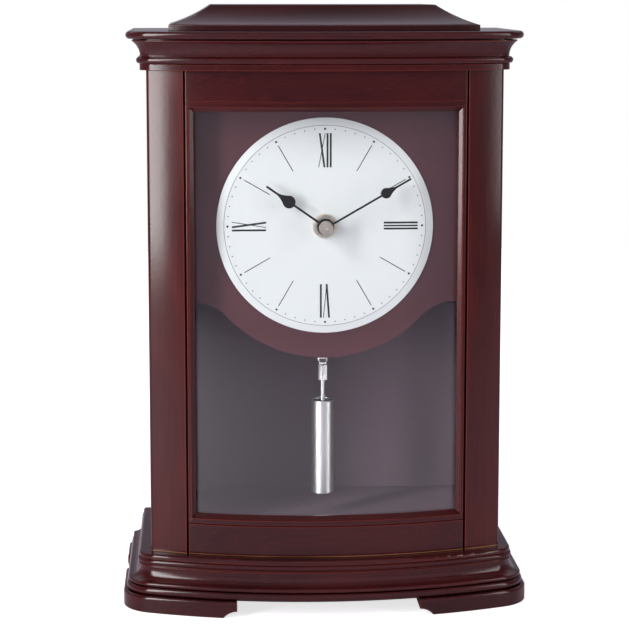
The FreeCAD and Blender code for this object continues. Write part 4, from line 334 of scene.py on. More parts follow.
veneer, veneer_tree, veneer_shader = new_finish("cherry_veneer", "#441d21", {"IOR": 1.5})
veneer_place = add_node(veneer_tree, "TexCoord")
veneer_size = add_node(veneer_tree, "Mapping", {"Vector": veneer_place.outputs["Object"],
                                                "Scale": per_mm(120, 30, 30)})
veneer_cloud = add_node(veneer_tree, "TexNoise", {"Vector": veneer_size.outputs[0], "Scale": 1.0,
                                                  "Detail": 4.0, "Distortion": 0.8})
veneer_tone = add_node(veneer_tree, "Mix", {"Factor": veneer_cloud.outputs["Fac"],
                                            6: srgb("#401e27"), 7: srgb("#51232b")},
                       data_type="RGBA")
veneer_tree.links.new(veneer_tone.outputs[2], veneer_shader.inputs["Base Color"])
veneer_gloss = add_node(veneer_tree, "MapRange", {"Value": veneer_cloud.outputs["Fac"],
                                                  "To Min": 0.34, "To Max": 0.46})
veneer_tree.links.new(veneer_gloss.outputs[0], veneer_shader.inputs["Roughness"])
dress(veneer, "dial_board")


# Dial: an aluminium disc with a bevelled rim, sprayed cool white and silk-screened in black. The
# enamel has a soft even sheen with the fine grit of the spray, and the ink is a thin raised film.

# the grit is drawn at 0.9 mm, coarser than a real spray's, so that it shows
dial_paint, dial_tree, dial_shader = new_finish("dial_enamel", "#e3e5ea", {"Roughness": 0.42})
dial_place = add_node(dial_tree, "TexCoord")
dial_grit = add_node(dial_tree, "Mapping", {"Vector": dial_place.outputs["Object"],
                                            "Scale": per_mm(0.9, 0.9, 0.9)})
dial_spray = add_node(dial_tree, "TexNoise", {"Vector": dial_grit.outputs[0], "Scale": 1.0,
                                              "Detail": 2.0})
dial_tone = add_node(dial_tree, "Mix", {"Factor": dial_spray.outputs["Fac"], 6: srgb("#e1e4e6"),
                                        7: srgb("#e6e8ea")}, data_type="RGBA")
dial_tree.links.new(dial_tone.outputs[2], dial_shader.inputs["Base Color"])
dial_bump = add_node(dial_tree, "Bump", {"Height": dial_spray.outputs["Fac"], "Strength": 0.04,
                                         "Distance": 0.0001})
dial_tree.links.new(dial_bump.outputs[0], dial_shader.inputs["Normal"])
dress(dial_paint, "dial_plate")

dial_low, dial_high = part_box("dial_plate")
DIAL_CENTRE = Vector((0, dial_low.y, (dial_low.z + dial_high.z) / 2))
INK_THICKNESS = 0.00003
RING_RADIUS, RING_LINE = 0.0536, 0.0002
DOT_CIRCLE, HOUR_DOT, MINUTE_DOT = 0.0516, 0.0006, 0.00032
STROKE_START, STROKE_END, STROKE_WIDTH = 0.0337, 0.0494, 0.00045
NUMERAL_START, NUMERAL_END, HEAVY, HAIRLINE = 0.0312, 0.0493, 0.00102, 0.0004

# matt black, a little uneven where the screen let less ink through
ink, ink_tree, ink_shader = new_finish("screen_ink", "#101113", {
    "Roughness": 0.55, "Specular IOR Level": 0.3})
ink_place = add_node(ink_tree, "TexCoord")
ink_size = add_node(ink_tree, "Mapping", {"Vector": ink_place.outputs["Object"],
                                          "Scale": per_mm(0.5, 0.5, 0.5)})
ink_film = add_node(ink_tree, "TexNoise", {"Vector": ink_size.outputs[0], "Scale": 1.0})
ink_tone = add_node(ink_tree, "Mix", {"Factor": ink_film.outputs["Fac"], 6: srgb("#0c0d0f"),
                                      7: srgb("#151618")}, data_type="RGBA")
ink_tree.links.new(ink_tone.outputs[2], ink_shader.inputs["Base Color"])

FLAT_TO_DIAL = (math.pi / 2, 0, 0)
UP_FROM_DIAL = {"value": (0, -INK_THICKNESS, 0)}


def settle(name, material):
    """Names the piece just modelled, puts its place in its mesh and gives it its finish."""
    if bpy.context.object.mode != "OBJECT":
        bpy.ops.object.mode_set(mode="OBJECT")
    bpy.ops.object.transform_apply(location=True, rotation=True, scale=True)
    piece = bpy.context.object
    piece.name = name
    piece.data.name = name
    piece.data.materials.clear()
    piece.data.materials.append(material)
    return piece


def copied(piece, change):
    """Another of the same, moved by a matrix, with its own mesh."""
    other = piece.copy()
    other.data = piece.data.copy()
    other.data.transform(change)
    bpy.context.scene.collection.objects.link(other)
    return other


def joined(name, pieces):
    """Makes one piece of several."""
    deselect()
    for piece in pieces:
        piece.select_set(True)
    bpy.context.view_layer.objects.active = pieces[0]
    bpy.ops.object.join()
    pieces[0].name = name
    pieces[0].data.name = name
    return pieces[0]


def about_dial(hours):
    """Turns about the dial's centre, clockwise from the front."""
    there = Matrix.Translation(DIAL_CENTRE)
    return there @ Matrix.Rotation(math.radians(30 * hours), 4, "Y") @ there.inverted()


def ink_dot(radius):
    """A printed dot at twelve o'clock."""
    deselect()
    bpy.ops.mesh.primitive_circle_add(vertices=20, radius=radius, fill_type="NGON",
                                      rotation=FLAT_TO_DIAL,
                                      location=DIAL_CENTRE + Vector((0, 0, DOT_CIRCLE)))
    bpy.ops.object.mode_set(mode="EDIT")
    bpy.ops.mesh.extrude_region_move(TRANSFORM_OT_translate=UP_FROM_DIAL)
    return settle("ink_dot", ink)


def ink_stroke(foot, head, width):
    """A printed bar at twelve o'clock, with its side offset at the inner and outer end."""
    deselect()
    low, high = NUMERAL_START, NUMERAL_END
    if width == STROKE_WIDTH:
        low, high = STROKE_START, STROKE_END
    middle = DIAL_CENTRE + Vector(((foot + head) / 2, 0, (low + high) / 2))
    bpy.ops.mesh.primitive_plane_add(size=1, rotation=FLAT_TO_DIAL, location=middle)
    bpy.ops.transform.resize(value=(width, 1, high - low))
    bpy.ops.object.mode_set(mode="EDIT")
    bpy.ops.mesh.extrude_region_move(TRANSFORM_OT_translate=UP_FROM_DIAL)
    piece = settle("ink_stroke", ink)
    lean = (head - foot) / (high - low)
    for vertex in piece.data.vertices:
        vertex.co.x += lean * (vertex.co.z - middle.z)
    return piece


# a dot for each hour and a smaller one for each minute between, strokes for eight of the hours
MINUTES_PER_HOUR_MARK = 5
hour_dot = ink_dot(HOUR_DOT)
minute_dot = ink_dot(MINUTE_DOT)
printing = [hour_dot, minute_dot]
printing += [copied(hour_dot, about_dial(hour)) for hour in range(1, 12)]
minute_dot.data.transform(about_dial(1 / MINUTES_PER_HOUR_MARK))
printing += [copied(minute_dot, about_dial(step / MINUTES_PER_HOUR_MARK)) for step in range(1, 59)
             if (step + 1) % MINUTES_PER_HOUR_MARK]
stroke = ink_stroke(0, 0, STROKE_WIDTH)
printing += [copied(stroke, about_dial(hour)) for hour in (2, 4, 5, 7, 8, 10, 11)]
stroke.data.transform(about_dial(1))
printing.append(stroke)

# each bar of a numeral: side offset at its inner end, at its outer end, width
NUMERALS = {
    12: ((-0.0003, -0.0028, HEAVY), (-0.0034, 0.0001, HAIRLINE), (0.0013, 0.0013, HEAVY),
         (0.003, 0.003, HEAVY)),
    3: ((-0.0016, -0.0016, HEAVY), (0, 0, HEAVY * 0.85), (0.0016, 0.0016, HEAVY)),
    6: ((-0.0009, -0.0022, HEAVY), (-0.0009, 0.0008, HAIRLINE), (0.0022, 0.0022, HEAVY)),
    9: ((-0.0021, -0.0021, HEAVY), (0.002, -0.0004, HEAVY), (-0.0006, 0.0023, HAIRLINE)),
}
for hour, bars in NUMERALS.items():
    for foot, head, width in bars:
        bar = ink_stroke(foot, head, width)
        bar.data.transform(about_dial(hour))
        printing.append(bar)

deselect()
bpy.ops.mesh.primitive_circle_add(vertices=192, radius=RING_RADIUS, fill_type="NGON",
                                  rotation=FLAT_TO_DIAL, location=DIAL_CENTRE)
bpy.ops.object.mode_set(mode="EDIT")
bpy.ops.mesh.inset(thickness=RING_LINE)
bpy.ops.mesh.delete(type="FACE")
bpy.ops.mesh.select_all(action="SELECT")
bpy.ops.mesh.extrude_region_move(TRANSFORM_OT_translate=UP_FROM_DIAL)
printing.append(settle("minute_ring", ink))

dial_printing = joined("dial_printing", printing)
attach(dial_printing, "case")


# Clamp at the dial's centre: a washer and a round slotted nut, turned from steel and plated with
# warm nickel, on the threaded brass tube of the movement. The nut draws the movement, the board
# and the dial together.

# the wave texture turns through 20 radians in a unit, so its rings lie 2 pi line widths apart;
# real turning marks are far finer and wouldn't show
WAVE_RADIANS = 20


def turned_metal(name, colour, roughness, line_mm):
    """Metal turned on a lathe: bright, with fine rings about the dial's axis."""
    material, tree, shader = new_finish(name, colour, {"Metallic": 1.0, "Roughness": roughness})
    place = add_node(tree, "TexCoord")
    centred = add_node(tree, "Mapping", {"Vector": place.outputs["Object"],
                                         "Location": -DIAL_CENTRE})
    rings = add_node(tree, "TexWave", {"Vector": centred.outputs[0],
                                       "Scale": per_mm(line_mm)[0] / WAVE_RADIANS,
                                       "Distortion": 0.4, "Detail": 2.0}, wave_type="RINGS",
                     rings_direction="Y")
    bump = add_node(tree, "Bump", {"Height": rings.outputs["Fac"], "Strength": 0.15,
                                   "Distance": 0.00005})
    tree.links.new(bump.outputs[0], shader.inputs["Normal"])
    return material


# the nickel is warm and bright and the brass yellower, both with the faint rings of the tool
nickel = turned_metal("nickel_plate", "#f0eadd", 0.28, 0.5)
dress(nickel, "dial_washer", "dial_nut")
dress(turned_metal("turned_brass", "#c9a862", 0.3, 0.6), "hand_bushing")


# Movement: two halves moulded in black ABS that clip together behind the board, with a grey knob
# and two grey slides on the back. Inside are nylon wheels, a steel arbor, a circuit board, a
# drive coil and two cells in their contacts.

def moulded_plastic(name, colour, roughness, grit_mm):
    """Injection-moulded plastic: satin, with a spark-eroded grain that scatters highlights.

    The real grain is about a tenth of a millimetre, too fine to show, and is drawn coarser.
    """
    material, tree, shader = new_finish(name, colour, {"Roughness": roughness, "IOR": 1.53})
    place = add_node(tree, "TexCoord")
    size = add_node(tree, "Mapping", {"Vector": place.outputs["Object"],
                                      "Scale": per_mm(grit_mm, grit_mm, grit_mm)})
    grit = add_node(tree, "TexNoise", {"Vector": size.outputs[0], "Scale": 1.0, "Detail": 2.0})
    paler = [min(1, c * 1.25 + 0.002) for c in srgb(colour)[:3]] + [1]
    tone = add_node(tree, "Mix", {"Factor": grit.outputs["Fac"], 6: srgb(colour), 7: paler},
                    data_type="RGBA")
    tree.links.new(tone.outputs[2], shader.inputs["Base Color"])
    rough = add_node(tree, "MapRange", {"Value": grit.outputs["Fac"], "To Min": roughness - 0.05,
                                        "To Max": roughness + 0.06})
    tree.links.new(rough.outputs[0], shader.inputs["Roughness"])
    bump = add_node(tree, "Bump", {"Height": grit.outputs["Fac"], "Strength": 0.12,
                                   "Distance": 0.0001})
    tree.links.new(bump.outputs[0], shader.inputs["Normal"])
    return material


# black and dark grey ABS, satin and evenly grained, and nylon left its own waxy off-white
black_abs = moulded_plastic("black_abs", "#1b1b1d", 0.42, 0.7)
grey_abs = moulded_plastic("grey_abs", "#3c3d40", 0.38, 0.7)
nylon = moulded_plastic("natural_nylon", "#d9d4c6", 0.4, 0.8)
dress(black_abs, "movement_front_case", "movement_rear_case", "door_magnet", "pendulum_hanger")
dress(grey_abs, "chime_selector", "volume_slider", "time_setting_knob")
dress(nylon, "hour_wheel", "minute_wheel")


BRUSH_STRETCH = 40


def plated_metal(name, colour, roughness, brush_mm):
    """Plated or drawn metal: a soft glint broken by faint upright lines.

    Real lines of brushing or drawing are too fine to show, so these are several times as wide.
    """
    material, tree, shader = new_finish(name, colour, {"Metallic": 1.0, "Roughness": roughness})
    place = add_node(tree, "TexCoord")
    size = add_node(tree, "Mapping", {"Vector": place.outputs["Object"],
                                      "Scale": per_mm(brush_mm, brush_mm,
                                                      brush_mm * BRUSH_STRETCH)})
    lines = add_node(tree, "TexNoise", {"Vector": size.outputs[0], "Scale": 1.0, "Detail": 2.0})
    rough = add_node(tree, "MapRange", {"Value": lines.outputs["Fac"], "To Min": roughness * 0.75,
                                        "To Max": roughness * 1.25})
    tree.links.new(rough.outputs[0], shader.inputs["Roughness"])
    bump = add_node(tree, "Bump", {"Height": lines.outputs["Fac"], "Strength": 0.06,
                                   "Distance": 0.00004})
    tree.links.new(bump.outputs[0], shader.inputs["Normal"])
    return material


# zinc-plated steel has a cool grey glint, and copper wire a red one under its clear enamel
steel = plated_metal("zinc_plate", "#b9bcc0", 0.32, 0.3)
dress(steel, "board_screws", "minute_arbor", "battery_contacts", "door_strike")
dress(plated_metal("enamelled_copper", "#a8512c", 0.35, 0.25), "drive_coil")

# glossy green film over copper tracks, which show as a paler maze
board_green, board_tree, board_shader = new_finish("solder_mask", "#1f5a3a", {"Roughness": 0.35})
board_place = add_node(board_tree, "TexCoord")
board_size = add_node(board_tree, "Mapping", {"Vector": board_place.outputs["Object"],
                                              "Scale": per_mm(3, 3, 3)})
tracks = add_node(board_tree, "TexVoronoi", {"Vector": board_size.outputs[0], "Scale": 1.0},
                  distance="MANHATTAN")
track_edge = add_node(board_tree, "MapRange", {"Value": tracks.outputs["Distance"], "From Min": 0.4,
                                               "From Max": 0.5})
board_tone = add_node(board_tree, "Mix", {"Factor": track_edge.outputs[0], 6: srgb("#1b5235"),
                                          7: srgb("#2f7a50")}, data_type="RGBA")
board_tree.links.new(board_tone.outputs[2], board_shader.inputs["Base Color"])
dress(board_green, "circuit_board")

# printed film round a steel can: half metallic, in fine bands, with no words on it
cell, cell_tree, cell_shader = new_finish("cell_jacket_film", "#7d8894", {"Roughness": 0.3,
                                                                          "Metallic": 0.4})
cell_place = add_node(cell_tree, "TexCoord")
cell_size = add_node(cell_tree, "Mapping", {"Vector": cell_place.outputs["Object"],
                                            "Scale": per_mm(60, 60, 1.5)})
cell_line = add_node(cell_tree, "TexNoise", {"Vector": cell_size.outputs[0], "Scale": 1.0})
cell_tone = add_node(cell_tree, "Mix", {"Factor": cell_line.outputs["Fac"], 6: srgb("#6f7b88"),
                                        7: srgb("#8a95a1")}, data_type="RGBA")
cell_tree.links.new(cell_tone.outputs[2], cell_shader.inputs["Base Color"])
dress(cell, "batteries")


# Hands: stamped brass on turned bosses, sprayed with a soft black lacquer that hardly shines. The
# cap that holds them is faced flat on the lathe and left bright.

HAND_ARRIS = 0.00015
hand_black, hand_tree, hand_shader = new_finish("black_lacquer", "#0a0a0c", {
    "Specular IOR Level": 0.12})
hand_place = add_node(hand_tree, "TexCoord")
hand_size = add_node(hand_tree, "Mapping", {"Vector": hand_place.outputs["Object"],
                                            "Scale": per_mm(0.8, 0.8, 0.8)})
hand_film = add_node(hand_tree, "TexNoise", {"Vector": hand_size.outputs[0], "Scale": 1.0,
                                             "Detail": 2.0})
hand_gloss = add_node(hand_tree, "MapRange", {"Value": hand_film.outputs["Fac"], "To Min": 0.36,
                                              "To Max": 0.46})
hand_tree.links.new(hand_gloss.outputs[0], hand_shader.inputs["Roughness"])
hand_edge = add_node(hand_tree, "Bevel", {"Radius": HAND_ARRIS}, samples=4)
hand_tree.links.new(hand_edge.outputs[0], hand_shader.inputs["Normal"])
dress(hand_black, "hour_hand", "minute_hand")
# bare steel, pale and bright, with the faint rings of the facing cut
dress(turned_metal("faced_steel", "#f5eee0", 0.24, 0.4), "centre_cap")


# Pendulum: a chromed brass tube with a moulded plug at each end, on a rod. A sleeve of folded
# sheet joins the rod to a pressed hook, which hangs under the movement's black lever.

# brushed round the bob, so highlights are drawn out along it, with sharp sides; the lines of
# the brush are drawn at 0.25 mm, since real ones are too fine to show
chrome, chrome_tree, chrome_shader = new_finish("brushed_chrome", "#dfe0e2", {
    "Metallic": 1.0, "Anisotropic": 0.6, "Anisotropic Rotation": 0.25})
chrome_round = add_node(chrome_tree, "Tangent", direction_type="RADIAL", axis="Z")
chrome_tree.links.new(chrome_round.outputs[0], chrome_shader.inputs["Tangent"])
chrome_place = add_node(chrome_tree, "TexCoord")
chrome_size = add_node(chrome_tree, "Mapping", {"Vector": chrome_place.outputs["Object"],
                                                "Scale": per_mm(30, 30, 0.25)})
chrome_lines = add_node(chrome_tree, "TexNoise", {"Vector": chrome_size.outputs[0], "Scale": 1.0})
chrome_rough = add_node(chrome_tree, "MapRange", {"Value": chrome_lines.outputs["Fac"],
                                                  "To Min": 0.42, "To Max": 0.48})
chrome_tree.links.new(chrome_rough.outputs[0], chrome_shader.inputs["Roughness"])
dress(chrome, "bob_tube", "pendulum_rod")


def pick_faces(piece, test):
    """Selects faces by place or normal, and goes into edit mode."""
    bpy.ops.object.mode_set(mode="OBJECT")
    for face in piece.data.polygons:
        face.select = test(face)
    bpy.ops.object.mode_set(mode="EDIT")


def softened(piece, radius):
    """Rounds the sharp edges of the piece just modelled."""
    bpy.ops.object.mode_set(mode="OBJECT")
    bevel = piece.modifiers.new("soft_edges", "BEVEL")
    bevel.width, bevel.segments = radius, 3
    bevel.limit_method, bevel.angle_limit = "ANGLE", math.radians(40)
    bpy.ops.object.modifier_apply(modifier=bevel.name)
    bpy.ops.object.shade_smooth_by_angle(angle=math.radians(40))
    level = piece.modifiers.new("flat_faces", "WEIGHTED_NORMAL")
    level.keep_sharp = True
    bpy.ops.object.modifier_apply(modifier=level.name)


# pressed and folded sheet, plated in satin nickel: pale, with a broad soft glint
satin_nickel = plated_metal("satin_nickel", "#f0f0f1", 0.52, 0.3)
# the hook: a narrow neck that flares to the width of its head
HOOK_PLATE, HOOK_SOFT = 0.0016, 0.0003
NECK_SHARE, NECK_HEIGHT, NECK_GAP = 0.76, 0.0027, 0.00025
FLARE_START = 1.1
hook_low, hook_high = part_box("pendulum_hook")
sleeve_low, sleeve_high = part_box("pendulum_adapter")
hook_wide = hook_high.x - hook_low.x
neck_wide, neck_top = hook_wide * NECK_SHARE, sleeve_high.z + NECK_HEIGHT
deselect()
bpy.ops.mesh.primitive_cube_add(size=1, location=((hook_low.x + hook_high.x) / 2,
                                                  (hook_low.y + hook_high.y) / 2,
                                                  (sleeve_high.z + NECK_GAP + neck_top) / 2))
bpy.ops.transform.resize(value=(neck_wide, HOOK_PLATE, neck_top - sleeve_high.z - NECK_GAP))
bpy.ops.object.transform_apply(location=False, rotation=False, scale=True)
hook = bpy.context.object
pick_faces(hook, lambda face: face.normal.z > 0.5)
rise = (hook_high.z - neck_top) / 2
bpy.ops.mesh.extrude_region_move(TRANSFORM_OT_translate={"value": (0, 0, rise)})
bpy.ops.transform.resize(value=(FLARE_START, 1, 1))
bpy.ops.mesh.extrude_region_move(TRANSFORM_OT_translate={"value": (0, 0, rise)})
bpy.ops.transform.resize(value=(hook_wide / neck_wide / FLARE_START, 1, 1))
softened(hook, HOOK_SOFT)
hook = settle("hook_tab", satin_nickel)
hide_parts("pendulum_hook")
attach(hook, "pendulum")

# the sleeve: a flat tube, with a groove down its front where the folded edges meet
SLEEVE_PLATE, SLEEVE_SOFT = 0.003, 0.00025
GROOVE_HALF, GROOVE_PICK, GROOVE_DEPTH = 0.00036, 0.0003, 0.0014
deselect()
bpy.ops.mesh.primitive_cube_add(size=1, location=(sleeve_low + sleeve_high) / 2)
bpy.ops.transform.resize(value=(sleeve_high.x - sleeve_low.x, SLEEVE_PLATE,
                                sleeve_high.z - sleeve_low.z))
bpy.ops.object.transform_apply(location=False, rotation=False, scale=True)
sleeve = bpy.context.object
sleeve_x = (sleeve_low.x + sleeve_high.x) / 2
bpy.ops.object.mode_set(mode="EDIT")
for side in (-GROOVE_HALF, GROOVE_HALF):
    bpy.ops.mesh.select_all(action="SELECT")
    bpy.ops.mesh.bisect(plane_co=(sleeve_x + side, 0, 0), plane_no=(1, 0, 0))
pick_faces(sleeve, lambda face: (face.normal.y < -0.5
                                 and abs(face.center.x - sleeve_x) < GROOVE_PICK))
bpy.ops.mesh.extrude_region_move(TRANSFORM_OT_translate={"value": (0, GROOVE_DEPTH, 0)})
softened(sleeve, SLEEVE_SOFT)
sleeve = settle("folded_sleeve", satin_nickel)
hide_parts("pendulum_adapter")
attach(sleeve, "pendulum")
# the plugs are black ABS with a little warmth, duller than the chrome they close
dress(moulded_plastic("bob_plug_abs", "#1d1a1b", 0.45, 0.7), "bob_caps")


# Speaker: a pressed steel basket with a paper cone glued in. It stands by its magnet on the back
# of the dial board, beside the movement, and faces the sound slots of the back door.

# blackened steel, with a dark and dull glint
dress(plated_metal("black_passivated_steel", "#3a3b3e", 0.4, 0.5), "speaker_basket")
# dull and pulpy, and so dark that it looks like an opening
paper, paper_tree, paper_shader = new_finish("cone_paper", "#26241f", {"Roughness": 0.9})
paper_place = add_node(paper_tree, "TexCoord")
paper_size = add_node(paper_tree, "Mapping", {"Vector": paper_place.outputs["Object"],
                                              "Scale": per_mm(0.7, 0.7, 0.7)})
pulp = add_node(paper_tree, "TexNoise", {"Vector": paper_size.outputs[0], "Scale": 1.0,
                                         "Detail": 4.0})
paper_bump = add_node(paper_tree, "Bump", {"Height": pulp.outputs["Fac"], "Strength": 0.4,
                                           "Distance": 0.0002})
paper_tree.links.new(paper_bump.outputs[0], paper_shader.inputs["Normal"])
dress(paper, "speaker_cone")


# Back door: a panel of hardboard, stained dark outside and painted mauve-grey inside, on two
# brass butt hinges, with a turned brass knob. It shuts against two strips and a magnetic catch.

# matt, with a felted fibre that the stain takes unevenly
hardboard, hard_tree, hard_shader = new_finish("stained_hardboard", "#2c2122", {"Roughness": 0.55})
hard_place = add_node(hard_tree, "TexCoord")
hard_size = add_node(hard_tree, "Mapping", {"Vector": hard_place.outputs["Object"],
                                            "Scale": per_mm(3.5, 3.5, 3.5)})
hard_fibre = add_node(hard_tree, "TexNoise", {"Vector": hard_size.outputs[0], "Scale": 1.0,
                                              "Detail": 6.0, "Roughness": 0.7})
hard_tone = add_node(hard_tree, "Mix", {"Factor": hard_fibre.outputs["Fac"], 6: srgb("#241b1b"),
                                        7: srgb("#372a29")}, data_type="RGBA")
hard_side = add_node(hard_tree, "SeparateXYZ", {0: hard_place.outputs["Normal"]})
hard_inside = add_node(hard_tree, "Math", {0: hard_side.outputs["Y"], 1: -0.5},
                       operation="LESS_THAN")
hard_both = add_node(hard_tree, "Mix", {"Factor": hard_inside.outputs[0], 6: hard_tone.outputs[2],
                                        7: srgb("#6b5562")}, data_type="RGBA")
hard_tree.links.new(hard_both.outputs[2], hard_shader.inputs["Base Color"])
hard_bump = add_node(hard_tree, "Bump", {"Height": hard_fibre.outputs["Fac"], "Strength": 0.15,
                                         "Distance": 0.0002})
hard_tree.links.new(hard_bump.outputs[0], hard_shader.inputs["Normal"])
dress(hardboard, "back_door")
dress(upright_cherry, "door_stops")
# drawn and polished brass, warm and bright under clear lacquer
brass = plated_metal("polished_brass", "#c8a35a", 0.25, 0.3)
dress(brass, "hinge_case_leaves", "hinge_door_leaves", "back_door_knob")


# Hinge screws: three slotted countersunk screws of turned brass through each door leaf, driven
# into the back of the door. Their heads stand just proud of the leaf.

SCREW_RADIUS, SCREW_DOME = 0.0016, 0.0004
SCREW_RIM, SCREW_CROWN = 0.0005, 0.00015
SLOT_HALF, SLOT_DEPTH = 0.00022, 0.0004
FIRST_SCREW, SCREW_PITCH = 0.0045, 0.0075
LEAF_HEIGHT, LEAF_THICKNESS = 0.024, 0.0006
# the screws stand on the leaf's flat part, a little off the middle of leaf and knuckle
LEAF_SHARE = 0.58
hinge_low, hinge_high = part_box("hinge_door_leaves")
leaf_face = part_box("back_door")[1].y + LEAF_THICKNESS
leaf_middle = hinge_low.x * (1 - LEAF_SHARE) + hinge_high.x * LEAF_SHARE
deselect()
bpy.ops.mesh.primitive_cylinder_add(vertices=28, radius=SCREW_RADIUS, depth=SCREW_DOME,
                                    location=(leaf_middle, leaf_face + SCREW_DOME / 2,
                                              hinge_low.z + FIRST_SCREW),
                                    rotation=(math.pi / 2, 0, 0))
bpy.ops.object.transform_apply(location=False, rotation=True, scale=True)
screw = bpy.context.object
pick_faces(screw, lambda face: face.normal.y > 0.9)
bpy.ops.mesh.inset(thickness=SCREW_RIM)
bpy.ops.transform.translate(value=(0, SCREW_CROWN, 0))
for side in (-SLOT_HALF, SLOT_HALF):
    bpy.ops.mesh.select_all(action="SELECT")
    bpy.ops.mesh.bisect(plane_co=(leaf_middle + side, 0, 0), plane_no=(1, 0, 0))
pick_faces(screw, lambda face: face.normal.y > 0.9 and abs(face.center.x) < SLOT_HALF)
bpy.ops.mesh.extrude_region_move(TRANSFORM_OT_translate={"value": (0, -SLOT_DEPTH, 0)})
bpy.ops.object.mode_set(mode="OBJECT")
bpy.ops.object.shade_smooth_by_angle(angle=math.radians(35))
screw = settle("hinge_screw", brass)
screws = [screw]
for leaf in (0, hinge_high.z - hinge_low.z - LEAF_HEIGHT):
    for step in (0, SCREW_PITCH, 2 * SCREW_PITCH):
        if leaf or step:
            screws.append(copied(screw, Matrix.Translation((0, 0, leaf + step))))
hinge_screws = joined("hinge_screws", screws)
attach(hinge_screws, "rear_door")


# Studio: a white floor and backdrop, a tall strip box on the left, a smaller soft box on the
# right and a dim panel above. The camera stands a little left of the clock, as high as its roof,
# and the room behind it is grey.

def lamp(name, place, aim, size, power):
    """A rectangular soft box that faces a point."""
    data = bpy.data.lights.new(name, "AREA")
    data.shape = "RECTANGLE"
    data.size, data.size_y = size
    data.energy = power
    piece = bpy.data.objects.new(name, data)
    piece.location = place
    piece.rotation_euler = (Vector(aim) - Vector(place)).to_track_quat("-Z", "Y").to_euler()
    bpy.context.scene.collection.objects.link(piece)


lamp("left_strip_box", (-0.887, -0.808, 0.6), (0, 0, 0.3), (0.25, 1.2), 18.5)
lamp("right_soft_box", (1.096, -0.714, 0.58), (0, 0, 0.3), (0.28, 1.05), 6.4)
lamp("top_panel", (0, -0.35, 1.8), (0, -0.2, 0.1), (2.0, 1.4), 2.1)

# level and tint of the grey room behind the camera, which lights the clock and shows in its gloss
ROOM_LEVEL, ROOM_TINT = 0.36, "#ece6f6"
FLOOR_SIZE, FLOOR_MIDDLE = 2.4, 0.25

# matt white paper, which the camera sees as white beyond the clock's soft shadow
floor_paint, floor_tree, floor_shader = new_finish("white_sweep", "#f3ecf6", {"Roughness": 0.6})
floor_seen = add_node(floor_tree, "LightPath")
floor_place = add_node(floor_tree, "TexCoord")
floor_far = add_node(floor_tree, "VectorMath", {0: floor_place.outputs["Object"]},
                     operation="LENGTH")
floor_level = add_node(floor_tree, "MapRange", {"Value": floor_far.outputs["Value"],
                                                "From Min": 0.15, "From Max": 0.6, "To Min": 0.72,
                                                "To Max": 1.0})
floor_glow = add_node(floor_tree, "Emission", {"Color": srgb("#ffffff"),
                                               "Strength": floor_level.outputs[0]})
floor_both = add_node(floor_tree, "AddShader", {0: floor_shader.outputs[0],
                                                1: floor_glow.outputs[0]})
floor_mix = add_node(floor_tree, "MixShader", {0: floor_seen.outputs["Is Camera Ray"],
                                               1: floor_shader.outputs[0],
                                               2: floor_both.outputs[0]})
# in gloss, the floor falls off towards the camera into the grey room
floor_parts = add_node(floor_tree, "SeparateXYZ", {0: floor_place.outputs["Object"]})
floor_fall = add_node(floor_tree, "MapRange", {"Value": floor_parts.outputs["Y"], "From Min": -0.3,
                                               "From Max": -0.9})
floor_mirrored = add_node(floor_tree, "Math", {0: floor_seen.outputs["Glossy Depth"], 1: 0.5},
                          operation="GREATER_THAN")
floor_away = add_node(floor_tree, "Math", {0: floor_fall.outputs[0], 1: floor_mirrored.outputs[0]},
                      operation="MULTIPLY")
floor_dusk = add_node(floor_tree, "Emission", {"Color": srgb(ROOM_TINT), "Strength": ROOM_LEVEL})
floor_all = add_node(floor_tree, "MixShader", {0: floor_away.outputs[0], 1: floor_mix.outputs[0],
                                               2: floor_dusk.outputs[0]})
floor_tree.links.new(floor_all.outputs[0], floor_tree.nodes["Material Output"].inputs["Surface"])
deselect()
bpy.ops.mesh.primitive_plane_add(size=FLOOR_SIZE, location=(0, FLOOR_MIDDLE, 0))
floor = settle("studio_floor", floor_paint)

world = bpy.data.worlds.new("studio")
bpy.context.scene.world = world
world.use_nodes = True
sky = world.node_tree
# the backdrop is white behind the clock and ends above it
sky_way = add_node(sky, "TexCoord")
sky_parts = add_node(sky, "SeparateXYZ", {0: sky_way.outputs["Generated"]})
sky_back = add_node(sky, "MapRange", {"Value": sky_parts.outputs["Y"], "From Min": 0.0,
                                      "From Max": 0.6})
sky_low = add_node(sky, "MapRange", {"Value": sky_parts.outputs["Z"], "From Min": 0.95,
                                     "From Max": 0.62})
sky_wall = add_node(sky, "Math", {0: sky_back.outputs[0], 1: sky_low.outputs[0]},
                    operation="MULTIPLY")
# in gloss, black flags stand before the foot of the backdrop and darken the lacquer's edges
sky_path = add_node(sky, "LightPath")
sky_over_flags = add_node(sky, "MapRange", {"Value": sky_parts.outputs["Z"], "From Min": 0.36,
                                            "From Max": 0.56, "To Min": 0.12})
sky_flags = add_node(sky, "Mix", {"Factor": sky_path.outputs["Is Glossy Ray"], "A": 1.0,
                                  "B": sky_over_flags.outputs[0]}, data_type="FLOAT")
sky_behind = add_node(sky, "Math", {0: sky_wall.outputs[0], 1: sky_flags.outputs["Result"]},
                      operation="MULTIPLY")
# the room behind the camera is darker towards its ceiling
sky_high = add_node(sky, "MapRange", {"Value": sky_parts.outputs["Z"], "From Min": 0.05,
                                      "From Max": 0.5, "To Min": ROOM_LEVEL, "To Max": 0.12})
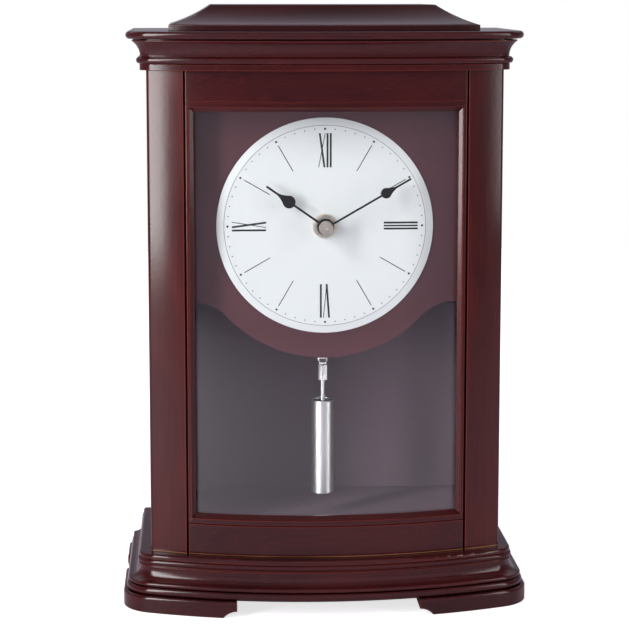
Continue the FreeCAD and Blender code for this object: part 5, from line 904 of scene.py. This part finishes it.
# in gloss, a white card stands over the camera, which fills the bob's reflection
sky_card_wide = add_node(sky, "MapRange", {"Value": sky_parts.outputs["Y"], "From Min": -0.45,
                                           "From Max": -0.65})
sky_card_foot = add_node(sky, "MapRange", {"Value": sky_parts.outputs["Z"], "From Min": 0.06,
                                           "From Max": 0.14})
sky_card = add_node(sky, "Math", {0: sky_card_wide.outputs[0], 1: sky_card_foot.outputs[0]},
                    operation="MULTIPLY")
sky_card_seen = add_node(sky, "Math", {0: sky_card.outputs[0],
                                       1: sky_path.outputs["Is Glossy Ray"]}, operation="MULTIPLY")
sky_front = add_node(sky, "Mix", {"Factor": sky_card_seen.outputs[0], "A": sky_high.outputs[0],
                                  "B": 1.0}, data_type="FLOAT")
sky_level = add_node(sky, "Mix", {"Factor": sky_behind.outputs[0], "A": sky_front.outputs["Result"],
                                  "B": 1.0}, data_type="FLOAT")
# the camera sees white, also straight through the glass; what the glass or a metal mirrors
# through the glass comes from the room
sky_straight = add_node(sky, "Math", {0: sky_path.outputs["Glossy Depth"], 1: 0.5},
                        operation="LESS_THAN")
sky_through = add_node(sky, "Math", {0: sky_path.outputs["Is Transmission Ray"],
                                     1: sky_straight.outputs[0]}, operation="MULTIPLY")
sky_seen = add_node(sky, "Math", {0: sky_path.outputs["Is Camera Ray"], 1: sky_through.outputs[0]},
                    operation="MAXIMUM")
sky_strength = add_node(sky, "Mix", {"Factor": sky_seen.outputs[0], "A": sky_level.outputs[0],
                                     "B": 1.0}, data_type="FLOAT")
sky_tint = add_node(sky, "Mix", {"Factor": sky_seen.outputs[0], 6: srgb(ROOM_TINT),
                                 7: srgb("#ffffff")}, data_type="RGBA")
sky_shader = sky.nodes["Background"]
sky.links.new(sky_tint.outputs[2], sky_shader.inputs["Color"])
sky.links.new(sky_strength.outputs["Result"], sky_shader.inputs["Strength"])

camera_data = bpy.data.cameras.new("camera")
camera_data.sensor_width = 36
camera_data.lens = 114.65
camera_data.shift_y = -0.0892
camera_data.clip_start, camera_data.clip_end = 0.05, 20
camera = bpy.data.objects.new("camera", camera_data)
camera.location = (-0.06491, -1.07604, 0.32675)
camera.rotation_euler = (math.radians(90 - 7.58), 0, math.radians(-3.21))
bpy.context.scene.collection.objects.link(camera)
bpy.context.scene.camera = camera
bpy.context.scene.view_settings.view_transform = "Standard"
